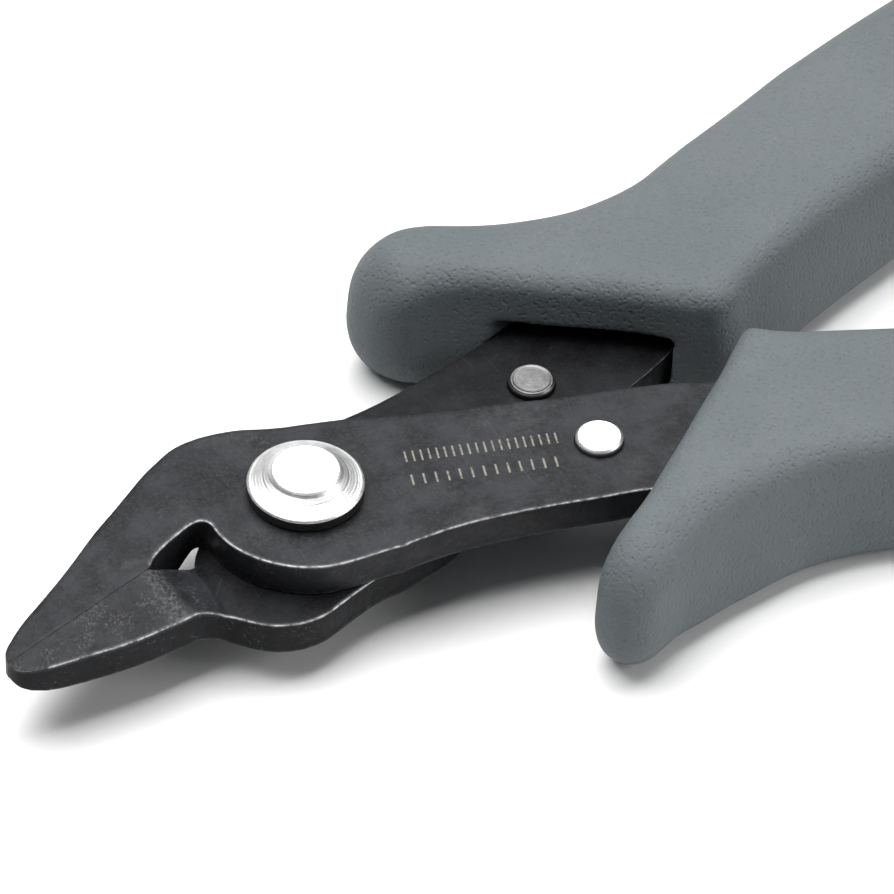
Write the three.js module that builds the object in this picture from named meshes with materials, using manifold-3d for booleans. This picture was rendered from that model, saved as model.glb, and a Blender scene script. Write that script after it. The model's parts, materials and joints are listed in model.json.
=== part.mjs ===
// Sprue nippers: two stamped steel blade levers on a turned rivet, a wire
// return spring hooked on two posts, and two moulded plastic grips.
// Millimetres, +Z up, jaws towards -X, handles towards +X.
// The tool is drawn with its pivot axis at x = y = 0 and its grips standing on
// z = 0; the exported group is then shifted so that its origin is the middle
// of the footprint.
import * as THREE from 'three';
import * as BufferGeometryUtils from 'three/addons/utils/BufferGeometryUtils.js';
import Module from 'manifold-3d';

const wasm = await Module();
wasm.setup();

// ---------------------------------------------------------------- dimensions
const GRIP_HEIGHT = 10.5;          // thickness of the plastic grips
const LOWER_BOTTOM = 2.75;         // lower plate
const LOWER_TOP = 5.2;
const UPPER_BOTTOM = 5.3;          // upper plate, 0.1 running gap
const UPPER_TOP = 7.75;
const PIVOT_HOLE_R = 2.5;
const RIVET_SHANK_R = 2.45;
const RIVET_HEAD_R = 3.85;
const RIVET_HEAD_H = 1.0;          // height of the head's rim
const RIVET_BOSS_R = 2.3;
const RIVET_BOSS_H = 2.05;         // height of the central boss
const POST_X = 19.35;              // spring posts, either side of the axis
const POST_Y = 4.5;
const POST_R = 1.58;
const POST_PROUD = 0.5;
const POST_FOOT_LEFT = 0.35;       // heights of the posts' lower ends
const POST_FOOT_RIGHT = 2.6;
const WIRE_R = 0.4;                // return spring
const COIL_R = 3.7;
const COIL_TOP = 1.83;
const COIL_BOTTOM = 0.62;
const EYE_R = 2.05;
const EYE_Z_LEFT = 1.45;
const EYE_Z_RIGHT = 4.0;
const CLIP_RISE = 0.15;            // retaining clips, just above the posts' lower ends
const CLIP_T = 0.35;
const CLIP_R = 2.35;
const BLADE_GAP = 0.03;            // each blade stands this far off the cut line
const SLOT_LOW = 2.2;              // mouth of the left grip; the right is inverted
const SLOT_HIGH = 6.55;
const CAVITY_CLEAR = 0.2;          // between tang and grip

// ------------------------------------------------------------------- helpers
function toSolid(geometry) {
  const g = geometry.clone();
  for (const name of Object.keys(g.attributes)) {
    if (name !== 'position') g.deleteAttribute(name);
  }
  const m = BufferGeometryUtils.mergeVertices(g, 1e-5);
  const mesh = new wasm.Mesh({
    numProp: 3,
    vertProperties: new Float32Array(m.attributes.position.array),
    triVerts: new Uint32Array(m.index.array),
  });
  return new wasm.Manifold(mesh);
}

function toGeometry(solid) {
  const mesh = solid.getMesh();
  const g = new THREE.BufferGeometry();
  const p = new Float32Array((mesh.vertProperties.length / mesh.numProp) * 3);
  for (let i = 0; i < p.length / 3; i++) {
    for (let k = 0; k < 3; k++) p[3 * i + k] = mesh.vertProperties[i * mesh.numProp + k];
  }
  g.setAttribute('position', new THREE.BufferAttribute(p, 3));
  g.setIndex(new THREE.BufferAttribute(new Uint32Array(mesh.triVerts), 1));
  g.computeVertexNormals();
  return g;
}

const v2 = ([x, y]) => new THREE.Vector2(x, y);
const mirrorY = (pts) => pts.map(([x, y]) => [x, -y]);

// a smooth open run through the given points, sampled about every `step` mm
function smooth(points, step = 0.8) {
  const curve = new THREE.CatmullRomCurve3(
    points.map(([x, y]) => new THREE.Vector3(x, y, 0)), false, 'centripetal');
  const n = Math.max(2, Math.round(curve.getLength() / step));
  return curve.getSpacedPoints(n).map((p) => [p.x, p.y]);
}

// joins runs end to end, dropping repeated corner points
function chain(...runs) {
  const out = [];
  for (const run of runs) {
    for (const p of run) {
      const q = out[out.length - 1];
      if (!q || Math.hypot(p[0] - q[0], p[1] - q[1]) > 0.02) out.push(p);
    }
  }
  const a = out[0], b = out[out.length - 1];
  if (Math.hypot(a[0] - b[0], a[1] - b[1]) < 0.02) out.pop();
  return out;
}

function prism(outline, zLow, zHigh) {
  const shape = new THREE.Shape(outline.map(v2));
  const g = new THREE.ExtrudeGeometry(shape, { depth: zHigh - zLow, bevelEnabled: false });
  g.translate(0, 0, zLow);
  return toSolid(g);
}

// a profile in X and Z, extruded along Y
function sidePrism(profile, yLow, yHigh) {
  const shape = new THREE.Shape(profile.map(v2));
  const g = new THREE.ExtrudeGeometry(shape, { depth: yHigh - yLow, bevelEnabled: false });
  g.rotateX(Math.PI / 2);
  g.translate(0, yHigh, 0);
  return toSolid(g);
}

function rod(x, y, r, zLow, zHigh, sides = 40) {
  const g = new THREE.CylinderGeometry(r, r, zHigh - zLow, sides);
  g.rotateX(Math.PI / 2);
  g.translate(x, y, (zLow + zHigh) / 2);
  return toSolid(g);
}

function block(x0, x1, y0, y1, z0, z1) {
  const g = new THREE.BoxGeometry(x1 - x0, y1 - y0, z1 - z0);
  g.translate((x0 + x1) / 2, (y0 + y1) / 2, (z0 + z1) / 2);
  return toSolid(g);
}

// everything above the sloping plane z = f(x, y), inside a wide square
function above(f, x0, x1, y0, y1, top = 30) {
  const g = new THREE.BoxGeometry(1, 1, 1);
  const p = g.attributes.position;
  for (let i = 0; i < p.count; i++) {
    const x = p.getX(i) > 0 ? x1 : x0;
    const y = p.getY(i) > 0 ? y1 : y0;
    p.setXYZ(i, x, y, p.getZ(i) > 0 ? top : f(x, y));
  }
  return toSolid(g);
}

// a closed skin over rings of equal length, capped flat at both ends
function ringSolid(rings) {
  const n = rings[0].length;
  const pos = rings.flat(2);
  const idx = [];
  for (let r = 0; r < rings.length - 1; r++) {
    for (let i = 0; i < n; i++) {
      const a = r * n + i, b = r * n + ((i + 1) % n);
      idx.push(a, b, b + n, a, b + n, a + n);
    }
  }
  const cap = (ring, base, flip) => {
    const tris = THREE.ShapeUtils.triangulateShape(ring.map(([x, y]) => v2([x, y])), []);
    for (const [a, b, c] of tris) idx.push(...(flip ? [base + a, base + c, base + b] : [base + a, base + b, base + c]));
  };
  cap(rings[0], 0, true);
  cap(rings[rings.length - 1], (rings.length - 1) * n, false);
  const g = new THREE.BufferGeometry();
  g.setAttribute('position', new THREE.Float32BufferAttribute(pos, 3));
  g.setIndex(idx);
  return g;
}

// inward normals of a closed counter-clockwise outline
function inward(outline) {
  const n = outline.length;
  return outline.map((p, i) => {
    const a = outline[(i + n - 1) % n], b = outline[(i + 1) % n];
    const dx = b[0] - a[0], dy = b[1] - a[1], l = Math.hypot(dx, dy);
    return [-dy / l, dx / l];
  });
}

// a grip's body: the widest line is low down, at WAIST_Z, over a full rounding;
// above it the sides lean in a little and turn over tightly at the crest, where
// the flat top begins; at the noses both roundings are full and the widest line
// is higher. flip stands the profile on its head
const WAIST_Z = 2.6;
const roundness = (r) => Math.min(1, Math.max(0, (r - 1.8) / 2));
function pillow(outline, crest, radius, height, flip, steps = 4) {
  const rings = [];
  const ring = (share, level) => outline.map(([x, y], i) => {
    const dx = x - crest[i][0], dy = y - crest[i][1], w = Math.hypot(dx, dy);
    const waist = WAIST_Z + 1.7 * roundness(radius[i]);
    const z = level(radius[i], waist);
    const d = share(w, radius[i], z, waist) / w;
    return [crest[i][0] + dx * d, crest[i][1] + dy * d, z];
  });
  for (let k = 0; k <= steps; k++) {
    const a = (Math.PI / 2) * (k / steps);
    rings.push(ring((w, r) => w - Math.min(0.8 * w, 2.2 + 1.6 * roundness(r)) * (1 - Math.sin(a)), (r, waist) => waist * (1 - Math.cos(a))));
  }
  for (let k = steps; k >= 0; k--) {
    const a = (Math.PI / 2) * (k / steps);
    rings.push(ring((w, r, z, waist) => {
      const turn = Math.min(0.9 * w, 1.15 * r);
      return turn * Math.sin(a) + (w - turn) * ((height - z) / (height - waist));
    }, (r) => height - r * (1 - Math.cos(a))));
  }
  if (!flip) return ringSolid(rings);
  return ringSolid(rings.reverse().map((r) => r.map(([x, y, z]) => [x, y, height - z])));
}

function offsetRun(points, d) {
  return points.map((p, i) => {
    const a = points[Math.max(0, i - 1)], b = points[Math.min(points.length - 1, i + 1)];
    const dx = b[0] - a[0], dy = b[1] - a[1], l = Math.hypot(dx, dy);
    return [p[0] + (dy / l) * d, p[1] - (dx / l) * d];
  });
}

// ------------------------------------------------------------- blade levers
const CUT_THROAT = [-11.98, -1.42];
const CUT_TIP = [-23.38, -4.21];
const cutLen = Math.hypot(CUT_TIP[0] - CUT_THROAT[0], CUT_TIP[1] - CUT_THROAT[1]);
const cutDir = [(CUT_TIP[0] - CUT_THROAT[0]) / cutLen, (CUT_TIP[1] - CUT_THROAT[1]) / cutLen];
const cutNormal = [cutDir[1], -cutDir[0]];     // towards the upper blade
const cutSide = ([x, y], d) => [x + cutNormal[0] * d, y + cutNormal[1] * d];

// tang inside a grip, drawn for the +Y side: outer edge, then inner edge
const TANG_OUTER = [[19.5, 9.75], [22.5, 10.75], [26, 11.3], [30, 11.7], [35, 12.6], [40, 14.0], [46, 16.0], [54, 18.5], [62, 20.6], [70, 22.2], [76, 23.1]];
const TANG_END = [[77.6, 22.6], [78.2, 21.2], [77.7, 19.6]];
const TANG_INNER = [[76, 18.5], [70, 17.5], [62, 15.7], [54, 13.3], [46, 10.6], [40, 8.4], [35, 6.3], [31, 4.2], [28.7, 2.8]];

// upper plate: jaw on +Y, lever on -Y
const upperOutline = chain(
  [cutSide(CUT_TIP, BLADE_GAP), cutSide(CUT_THROAT, BLADE_GAP)],
  smooth([cutSide(CUT_THROAT, BLADE_GAP), [-11.58, -0.93], [-10.95, -0.5], [-10.27, -0.16], [-9.11, 0.28], [-8.06, 0.64], [-7.48, 0.68], [-7.06, 0.48], [-6.85, 0.04], [-6.84, -0.56], [-6.68, -1.77], [-6.3, -2.85], [-5.7, -3.92], [-4.92, -4.85], [-4, -5.68], [-3, -6.3], [-2, -6.72], [-1, -6.95], [0, -7.06]], 0.5),
  smooth([[0, -7.06], [2, -7.16], [3.4, -7.22], [5, -7.22], [7, -7.3], [9, -7.5], [11, -7.84], [13, -8.24], [15, -8.7], [17, -9.2], ...mirrorY(TANG_OUTER)], 1.6),
  smooth(mirrorY([TANG_OUTER.at(-1), ...TANG_END, TANG_INNER[0]]), 1.2),
  smooth([...mirrorY(TANG_INNER), [24, -1.05], [20, 0.0], [15, 1.6], [10, 3.1], [6.5, 4.55], [5, 5.0], [3, 5.6], [1.4, 6.04], [0, 6.56], [-1, 7.0], [-2, 7.3], [-3, 7.5], [-4, 7.62], [-5.2, 7.58], [-6.15, 7.38], [-7.54, 6.74], [-9.05, 5.95], [-10.51, 5.05], [-12.0, 4.15], [-13.5, 3.27], [-14.75, 2.44], [-16.15, 1.47], [-17.64, 0.5], [-19.56, -0.66], [-20.91, -1.45], [-21.9, -2.14], [-22.55, -2.68]], 1.0),
  smooth([[-22.55, -2.68], [-22.96, -3.07], [-23.22, -3.4], [-23.35, -3.78], cutSide(CUT_TIP, BLADE_GAP)], 0.35),
);

// lower plate: jaw on -Y, lever on +Y
const lowerOutline = chain(
  [cutSide(CUT_THROAT, -BLADE_GAP), cutSide(CUT_TIP, -BLADE_GAP)],
  smooth([cutSide(CUT_TIP, -BLADE_GAP), [-23.29, -4.58], [-23.1, -4.96], [-22.62, -5.21], [-22.0, -5.36], [-21.32, -5.5]], 0.4),
  smooth([[-21.32, -5.5], [-19.8, -5.6], [-18.2, -5.68], [-16.5, -5.8], [-14.8, -5.83], [-13.2, -5.75], [-11.9, -5.66], [-10.7, -5.55], [-9.7, -5.42], [-8.95, -5.48], [-8.35, -5.82], [-7.83, -6.32], [-7, -7.18], [-6, -7.87], [-4.83, -8.3], [-3.83, -8.42], [-2.67, -8.3], [-1.3, -7.85], [0, -7.4], [1.56, -6.94], [3.56, -6.72], [5.56, -6.35], [7.96, -5.62], [11, -4.2], [14, -2.5], [17, -1.15], [20, -0.12], [24, 0.9], ...[...TANG_INNER].reverse()], 0.9),
  smooth([TANG_INNER[0], ...[...TANG_END].reverse(), TANG_OUTER.at(-1)], 1.2),
  smooth([...[...TANG_OUTER].reverse(), [17, 9.15], [15, 8.66], [13, 8.2], [11, 7.8], [9, 7.46], [7, 7.26], [5, 7.18], [3.4, 7.18], [2, 7.14], [0, 7.06]], 1.6),
  smooth([[0, 7.06], [-1, 6.95], [-2, 6.72], [-3, 6.3], [-4, 5.68], [-4.92, 4.85], [-5.7, 3.92], [-6.3, 2.85], [-6.75, 1.77], [-7.22, 1.0], [-7.85, 0.25], [-8.25, -0.35], [-8.5, -0.82], [-9.0, -1.07], [-9.7, -1.19], [-10.8, -1.28], cutSide(CUT_THROAT, -BLADE_GAP)], 0.5),
);

// side profiles: the blades step towards each other ahead of the pivot disc
const upperSide = sidePrism([
  [-26, 6.4], [-26, 5.4], [-23.4, 5.15], [-22.9, 4.85], [-22.3, 4.6], [-21.4, 4.3], [-20, 4.15], [-9.4, 4.12], [-7.9, UPPER_BOTTOM],
  [120, UPPER_BOTTOM], [120, UPPER_TOP], [-8.3, UPPER_TOP],
], -60, 60);
const lowerSide = sidePrism([
  [-26, 9], [-26, 5.6], [-23.4, 5.25], [-22.9, 4.85], [-22.3, 4.52], [-21.4, 4.26], [-20.4, 4.05], [-18.5, 3.9], [-10.6, 3.85], [-8.2, LOWER_BOTTOM],
  [120, LOWER_BOTTOM], [120, 9],
], -60, 60);
// the lower blade's ground top slopes down from the cutting edge to the flank,
// and a ramp brings it down to the flat of the plate
const groundTop = (x, y) => 7.44 + 0.0085 * (x + 11.98) + 0.273 * (y + 1.42);
const ramp = (x, y) => 7.42 - 0.5606 * (x + 12.2) + 0.0422 * (y + 1.5);

// bevel under the cutting edges: a wedge whose ridge runs along the cut
function bevelWedge() {
  // it dies out towards the tip, where the two blades end in one plain face
  const stations = [[-1.0, 6.9], [9.4, 6.35], [cutLen, 5.2], [cutLen + 2.5, 3.0]];
  const pos = stations.map(([s, ridge]) => {
    const c = [CUT_THROAT[0] + cutDir[0] * s, CUT_THROAT[1] + cutDir[1] * s];
    const l = cutSide(c, 1.75), r = cutSide(c, -1.75), k = cutSide(c, 0);
    return [[r[0], r[1], 2.6], [l[0], l[1], 2.6], [k[0], k[1], ridge]];
  }).flat(2);
  const idx = [0, 1, 2];
  for (let i = 0; i < stations.length - 1; i++) {
    const a = 3 * i, b = a + 3;
    idx.push(a, b, b + 1, a, b + 1, a + 1, a + 1, b + 1, b + 2, a + 1, b + 2, a + 2, a + 2, b + 2, b, a + 2, b, a);
  }
  const e = 3 * (stations.length - 1);
  idx.push(e, e + 2, e + 1);
  const g = new THREE.BufferGeometry();
  g.setAttribute('position', new THREE.Float32BufferAttribute(pos, 3));
  g.setIndex(idx);
  return toSolid(g);
}
const wedge = bevelWedge();

const upperBlade = prism(upperOutline, 3.2, 8.4)
  .intersect(upperSide)
  .subtract(wedge)
  .subtract(rod(0, 0, PIVOT_HOLE_R, 0, 12))
  .subtract(rod(POST_X, -POST_Y, POST_R + 0.03, 0, 12, 32));

const lowerBlade = prism(lowerOutline, 2.2, 8.4)
  .intersect(lowerSide)
  .subtract(above(groundTop, -40, 120, -40, 60))
  .subtract(above(ramp, -40, 120, -40, 60).intersect(block(-40, 120, -40, 60, LOWER_TOP, 20)))
  .subtract(block(-8, 120, -40, 60, LOWER_TOP, 20))
  .subtract(wedge)
  .subtract(rod(0, 0, PIVOT_HOLE_R, 0, 12))
  .subtract(rod(POST_X, POST_Y, POST_R + 0.03, 0, 12, 32));

// ------------------------------------------------------------------- pivot
function lathe(profile, sides = 40) {
  const g = new THREE.LatheGeometry(profile.map(v2), sides);
  g.rotateX(Math.PI / 2);
  return toGeometry(toSolid(g));
}
const TAIL_R = 2.9;
const WASHER_LOW = 2.28;
const WASHER_HIGH = 2.72;
const HT = UPPER_TOP + 0.03;       // underside of the rivet's head
const pivotRivet = lathe([
  [0, 0.45], [2.2, 0.45], [2.7, 0.7], [TAIL_R, 1.1], [TAIL_R, WASHER_LOW - 0.03], [RIVET_SHANK_R, WASHER_LOW - 0.03],
  [RIVET_SHANK_R, HT], [RIVET_HEAD_R, HT], [RIVET_HEAD_R, UPPER_TOP + RIVET_HEAD_H - 0.12], [RIVET_HEAD_R - 0.14, UPPER_TOP + RIVET_HEAD_H],
  [3.45, UPPER_TOP + RIVET_HEAD_H + 0.13], [3.0, UPPER_TOP + 1.4], [RIVET_BOSS_R + 0.12, UPPER_TOP + 1.72], [RIVET_BOSS_R, UPPER_TOP + RIVET_BOSS_H - 0.12],
  [RIVET_BOSS_R - 0.25, UPPER_TOP + RIVET_BOSS_H], [0, UPPER_TOP + RIVET_BOSS_H],
]);
const pivotWasher = lathe([
  [RIVET_SHANK_R + 0.05, WASHER_LOW], [5.0, WASHER_LOW], [5.2, WASHER_LOW + 0.12], [5.2, WASHER_HIGH], [RIVET_SHANK_R + 0.05, WASHER_HIGH], [RIVET_SHANK_R + 0.05, WASHER_LOW],
]);

// ------------------------------------------------------------ spring posts
function post(x, y, plateTop, foot) {
  const top = plateTop + POST_PROUD;
  const clipLow = foot + CLIP_RISE, clipHigh = clipLow + CLIP_T;
  const g = lathe([
    [0, foot], [POST_R - 0.2, foot], [POST_R - 0.05, foot + 0.11], [POST_R - 0.4, clipLow - 0.03], [POST_R - 0.4, clipHigh + 0.03],
    [POST_R, clipHigh + 0.05], [POST_R, top - 0.18], [POST_R - 0.18, top], [0, top],
  ], 28);
  g.translate(x, y, 0);
  return g;
}

// E-clip: a flat ring with a mouth, sprung into the post's groove
function clip(x, y, openAngle, foot) {
  const r0 = POST_R - 0.37, r1 = CLIP_R, half = 0.62;
  const pts = [];
  const n = 22;
  for (let i = 0; i <= n; i++) {
    const a = half + ((2 * Math.PI - 2 * half) * i) / n;
    pts.push([r1 * Math.cos(a), r1 * Math.sin(a)]);
  }
  for (let i = n; i >= 0; i--) {
    const a = half + ((2 * Math.PI - 2 * half) * i) / n;
    pts.push([r0 * Math.cos(a), r0 * Math.sin(a)]);
  }
  const g = new THREE.ExtrudeGeometry(new THREE.Shape(pts.map(v2)), { depth: CLIP_T, bevelEnabled: false });
  g.rotateZ(openAngle);
  g.translate(x, y, foot + CLIP_RISE);
  return toGeometry(toSolid(g));
}

// ----------------------------------------------------------- return spring
// an eye round each post, a leg to the coil, one and a half turns; the right
// leg runs under the lower plate and then climbs to its post's shorter foot
function springPath() {
  const pts = [];
  const eye = (side) => {
    // from the free end of the eye round to where the leg leaves it
    const c = [POST_X, side * POST_Y];
    const z = side > 0 ? EYE_Z_LEFT : EYE_Z_RIGHT;
    const run = [];
    for (let i = 0; i <= 15; i++) {
      const a = THREE.MathUtils.degToRad(-95 - 285 * (1 - i / 15));
      run.push([c[0] + EYE_R * Math.cos(a), c[1] + side * EYE_R * Math.sin(a), z]);
    }
    return run;
  };
  const left = eye(1);
  // the leg is tangent to the coil on its outer side
  const coilStart = 1.62, coilEnd = coilStart + 2 * Math.PI + (2 * Math.PI - 2 * coilStart);
  const turns = 40;
  pts.push(...left);
  const last = left.at(-1);
  const cs = [COIL_R * Math.cos(coilStart), COIL_R * Math.sin(coilStart), COIL_TOP];
  for (let k = 1; k < 5; k++) {
    const t = k / 5;
    pts.push([last[0] + (cs[0] - last[0]) * t, last[1] + (cs[1] - last[1]) * t, last[2] + (cs[2] - last[2]) * t]);
  }
  for (let i = 0; i <= turns; i++) {
    const a = coilStart + ((coilEnd - coilStart) * i) / turns;
    pts.push([COIL_R * Math.cos(a), COIL_R * Math.sin(a), COIL_TOP + ((COIL_BOTTOM - COIL_TOP) * i) / turns]);
  }
  const right = eye(-1).reverse();
  const ce = pts.at(-1), first = right[0];
  for (const [t, z] of [[0.2, 0.88], [0.4, 1.2], [0.6, 1.58], [0.76, 2.08], [0.84, 2.8], [0.92, 3.6]]) {
    pts.push([ce[0] + (first[0] - ce[0]) * t, ce[1] + (first[1] - ce[1]) * t, z]);
  }
  pts.push(...right);
  return pts.map(([x, y, z]) => new THREE.Vector3(x, y, z));
}
function springSolid() {
  const path = new THREE.CatmullRomCurve3(springPath(), false, 'centripetal');
  const section = new THREE.Shape();
  const sides = 8;
  for (let i = 0; i < sides; i++) {
    const a = (2 * Math.PI * i) / sides;
    if (i === 0) section.moveTo(WIRE_R * Math.cos(a), WIRE_R * Math.sin(a));
    else section.lineTo(WIRE_R * Math.cos(a), WIRE_R * Math.sin(a));
  }
  section.closePath();
  const g = new THREE.ExtrudeGeometry(section, { steps: 110, extrudePath: path, bevelEnabled: false });
  return toGeometry(toSolid(g));
}

// -------------------------------------------------------------------- grips
// plan outline of a grip at its widest line, drawn for +Y: x, y, height of the
// upper rounding, then either the crest point where the flat top begins or the
// distance to it; the left flare reaches forwards, the right one outwards
const LEFT_FRONT = [
  [31.7, 0.95, 1.4, 31.95, 2.78], [30.4, 1.35, 1.4, 31.14, 3.3], [28.96, 2.28, 1.4, 30.15, 3.95], [26.86, 3.99, 1.4, 28.05, 5.66], [24.67, 5.53, 1.4, 25.86, 7.2], [22.42, 6.99, 1.4, 23.61, 8.66], [20.2, 8.6, 1.4, 21.42, 10.2],
  [17.85, 10.0, 1.5, 19.24, 11.76], [16.0, 10.9, 1.8, 17.66, 12.95], [14.4, 11.35, 2.2, 16.4, 13.78], [13.2, 12.0, 3.0, 15.5, 14.2], [12.2, 13.1, 4.0, 15.1, 14.6], [11.65, 14.4, 4.6, 14.95, 15.0],
  [11.5, 15.7, 4.6, 14.95, 15.2], [11.9, 16.9, 4.4, 15.1, 15.5], [12.8, 17.8, 3.8, 15.4, 15.8], [14.1, 18.3, 3.2, 15.9, 16.0], [15.6, 18.4, 2.6, 16.5, 16.1], [16.9, 18.05, 2.2, 17.1, 16.0],
  [18.45, 17.4, 1.9, 18.1, 15.6], [20.25, 16.45, 1.8, 19.6, 14.8], [22.1, 15.6, 1.7, 21.5, 13.95], [24.0, 15.0, 1.6, 1.8], [26.0, 14.55, 1.6, 1.8], [27.7, 14.35, 1.6, 1.8], [29.6, 14.38, 1.6, 1.8], [31.15, 14.55, 1.6, 1.8], [32.9, 14.95, 1.6, 1.8], [35.4, 15.95, 1.6, 1.9], [38.5, 17.2, 1.6, 2.1],
];
const RIGHT_FRONT = [
  [32.0, 1.15, 1.4, 32.4, 2.75], [30.6, 2.2, 1.4, 31.5, 3.6], [28.4, 4.1, 1.4, 29.4, 5.35], [25.7, 6.15, 1.4, 26.7, 7.4], [22.8, 8.47, 1.4, 23.8, 9.7], [20.1, 10.5, 1.5, 21.2, 11.7],
  [18.0, 12.1, 1.8, 19.4, 12.7], [16.3, 13.1, 2.3, 18.1, 13.5], [14.3, 14.3, 3.1, 17.2, 14.2], [13.1, 15.35, 3.8, 16.8, 14.6], [12.65, 16.5, 4.2, 16.6, 14.9], [12.9, 17.8, 4.3, 16.6, 15.1],
  [13.8, 18.7, 4.2, 16.8, 15.2], [15.05, 19.0, 3.9, 17.1, 15.1], [16.9, 18.3, 3.1, 17.9, 14.6], [18.8, 17.45, 2.4, 19.2, 13.8], [20.6, 17.0, 2.0, 20.7, 13.2], [22.8, 16.46, 1.7, 22.6, 12.8],
  [24.85, 16.17, 1.5, 24.7, 12.75], [26.93, 15.88, 1.5, 26.8, 12.7], [28.97, 15.67, 1.5, 28.9, 12.8], [30.75, 15.77, 1.5, 30.9, 13.0], [32.5, 15.95, 1.5, 32.9, 13.4], [35.35, 16.7, 1.5, 36.0, 14.0], [38.5, 17.6, 1.6, 39.3, 14.9],
];
const HANDLE = [
  // outer side of the handle
  [43, 19.1, 1.8, 2.5], [50, 21.65, 2.2, 2.7],
  [58, 24.15, 2.6, 3.0], [66, 26.1, 2.8, 3.2], [74, 27.5, 3.0, 3.3], [82, 28.35, 3.0, 3.3], [90, 28.6, 3.0, 3.3], [97, 28.1, 3.0, 3.3],
  // rounded end
  [102, 26.6, 3.0, 3.3], [104.6, 24.0, 3.0, 3.3], [105.2, 21.3, 3.0, 3.3], [104.3, 18.6, 3.0, 3.3], [101.6, 16.5, 3.0, 3.3],
  // inner side, back to the corner
  [97, 15.6, 3.0, 3.3], [90, 15.4, 3.0, 3.3], [82, 14.9, 3.0, 3.3], [74, 13.8, 2.9, 3.2], [66, 12.15, 2.7, 3.0], [58, 9.95, 2.4, 2.8], [50, 7.4, 2.0, 2.9], [43.5, 5.3, 1.7, 2.8], [38.5, 3.3, 1.5, 38.55, 6.0], [35.0, 1.8, 1.4, 34.7, 4.25], [33.2, 1.05, 1.4, 33.0, 3.15],
];
const gripPlan = (front) => [...front, ...HANDLE].reverse();

function gripSolid(side) {
  const GRIP_PLAN = gripPlan(side > 0 ? LEFT_FRONT : RIGHT_FRONT);
  const n = GRIP_PLAN.length;
  const normals = inward(GRIP_PLAN);
  const crestOf = ([x, y, r, cx, cy], i) => (cy === undefined ? [x + normals[i][0] * cx, y + normals[i][1] * cx] : [cx, cy]);
  const loop = (f) => new THREE.CatmullRomCurve3(GRIP_PLAN.map((p, i) => new THREE.Vector3(...f(p, i))), true, 'centripetal');
  const curve = loop((p) => [p[0], p[1], p[2]]);
  const crestCurve = loop((p, i) => [...crestOf(p, i), 0]);
  const pts = [], crest = [], rs = [];
  for (let i = 0; i < n; i++) {
    const a = GRIP_PLAN[i], b = GRIP_PLAN[(i + 1) % n];
    const cuts = Math.hypot(a[0] - b[0], a[1] - b[1]) > 2.2 ? 2 : 1;
    for (let k = 0; k < cuts; k++) {
      const t = (i + k / cuts) / n;
      const p = curve.getPoint(t), c = crestCurve.getPoint(t);
      pts.push([p.x, p.y]);
      rs.push(p.z);
      crest.push([c.x, c.y]);
    }
  }
  let body = toSolid(pillow(pts, crest, rs, GRIP_HEIGHT, side < 0));

  // mouth: a tall slot in the front face, then a close pocket for the tang
  const outer = smooth([[9, 6.2], [15, 8.66], [17, 9.15], ...TANG_OUTER], 1.6);
  const inner = smooth([...TANG_INNER, [24, 1.05], [20, 0.0]], 1.6);
  const end = smooth([TANG_OUTER.at(-1), ...TANG_END, TANG_INNER[0]], 1.2);
  const pocketPlan = (clear, lead) => chain(
    offsetRun(outer, -clear).map((p) => p),
    offsetRun(end, -clear),
    offsetRun(inner, -clear),
    lead,
  ).reverse();
  const plateLow = LOWER_BOTTOM, plateHigh = LOWER_TOP;
  const pocket = prism(pocketPlan(CAVITY_CLEAR, [[16, 0]]), plateLow - CAVITY_CLEAR, plateHigh + CAVITY_CLEAR);
  const mouthPlan = [[14, 6], [19.2, 9.95], [24.5, 11.4], [31.5, 10.2], [33.3, 5.7], [29.0, 2.55], [24, -1.5]].reverse();
  const mouth = prism(mouthPlan, SLOT_LOW, SLOT_HIGH);
  body = body.subtract(mouth).subtract(pocket);
  const g = toGeometry(body);
  if (side < 0) {
    // the other grip is turned over about the tool's axis
    g.rotateX(Math.PI);
    g.translate(0, 0, GRIP_HEIGHT);
  }
  return g;
}

// ----------------------------------------------------------------- assembly
const steel = (color, roughness, metalness = 1) => new THREE.MeshStandardMaterial({ color, roughness, metalness });
const blackOxide = () => steel(0x3c3d40, 0.5, 0.8);
const turned = () => steel(0xc9cacc, 0.3);
const wire = () => steel(0x8d9094, 0.35);
const plastic = () => new THREE.MeshStandardMaterial({ color: 0x6a7174, roughness: 0.75, metalness: 0 });

const tool = new THREE.Group();
tool.name = 'sprue_nippers';
function add(name, geometry, material) {
  const mesh = new THREE.Mesh(geometry, material);
  mesh.name = name;
  tool.add(mesh);
}
add('upper_blade_lever', toGeometry(upperBlade), blackOxide());
add('lower_blade_lever', toGeometry(lowerBlade), blackOxide());
add('pivot_rivet', pivotRivet, turned());
add('pivot_tail_washer', pivotWasher, turned());
add('return_spring', springSolid(), wire());
add('spring_post_left', post(POST_X, POST_Y, LOWER_TOP, POST_FOOT_LEFT), turned());
add('spring_post_right', post(POST_X, -POST_Y, UPPER_TOP, POST_FOOT_RIGHT), turned());
add('post_clip_left', clip(POST_X, POST_Y, 0.4, POST_FOOT_LEFT), wire());
add('post_clip_right', clip(POST_X, -POST_Y, -0.4, POST_FOOT_RIGHT), wire());
add('grip_left', gripSolid(1), plastic());
add('grip_right', gripSolid(-1), plastic());

// origin: middle of the footprint, on the surface the tool lies on
const box = new THREE.Box3().setFromObject(tool, true);
tool.position.set(-(box.min.x + box.max.x) / 2, -(box.min.y + box.max.y) / 2, -box.min.z);

export default tool;
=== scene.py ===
import json
import math

import bmesh
import bpy
import numpy as np
from mathutils import Matrix, Vector, geometry, kdtree, noise


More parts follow.
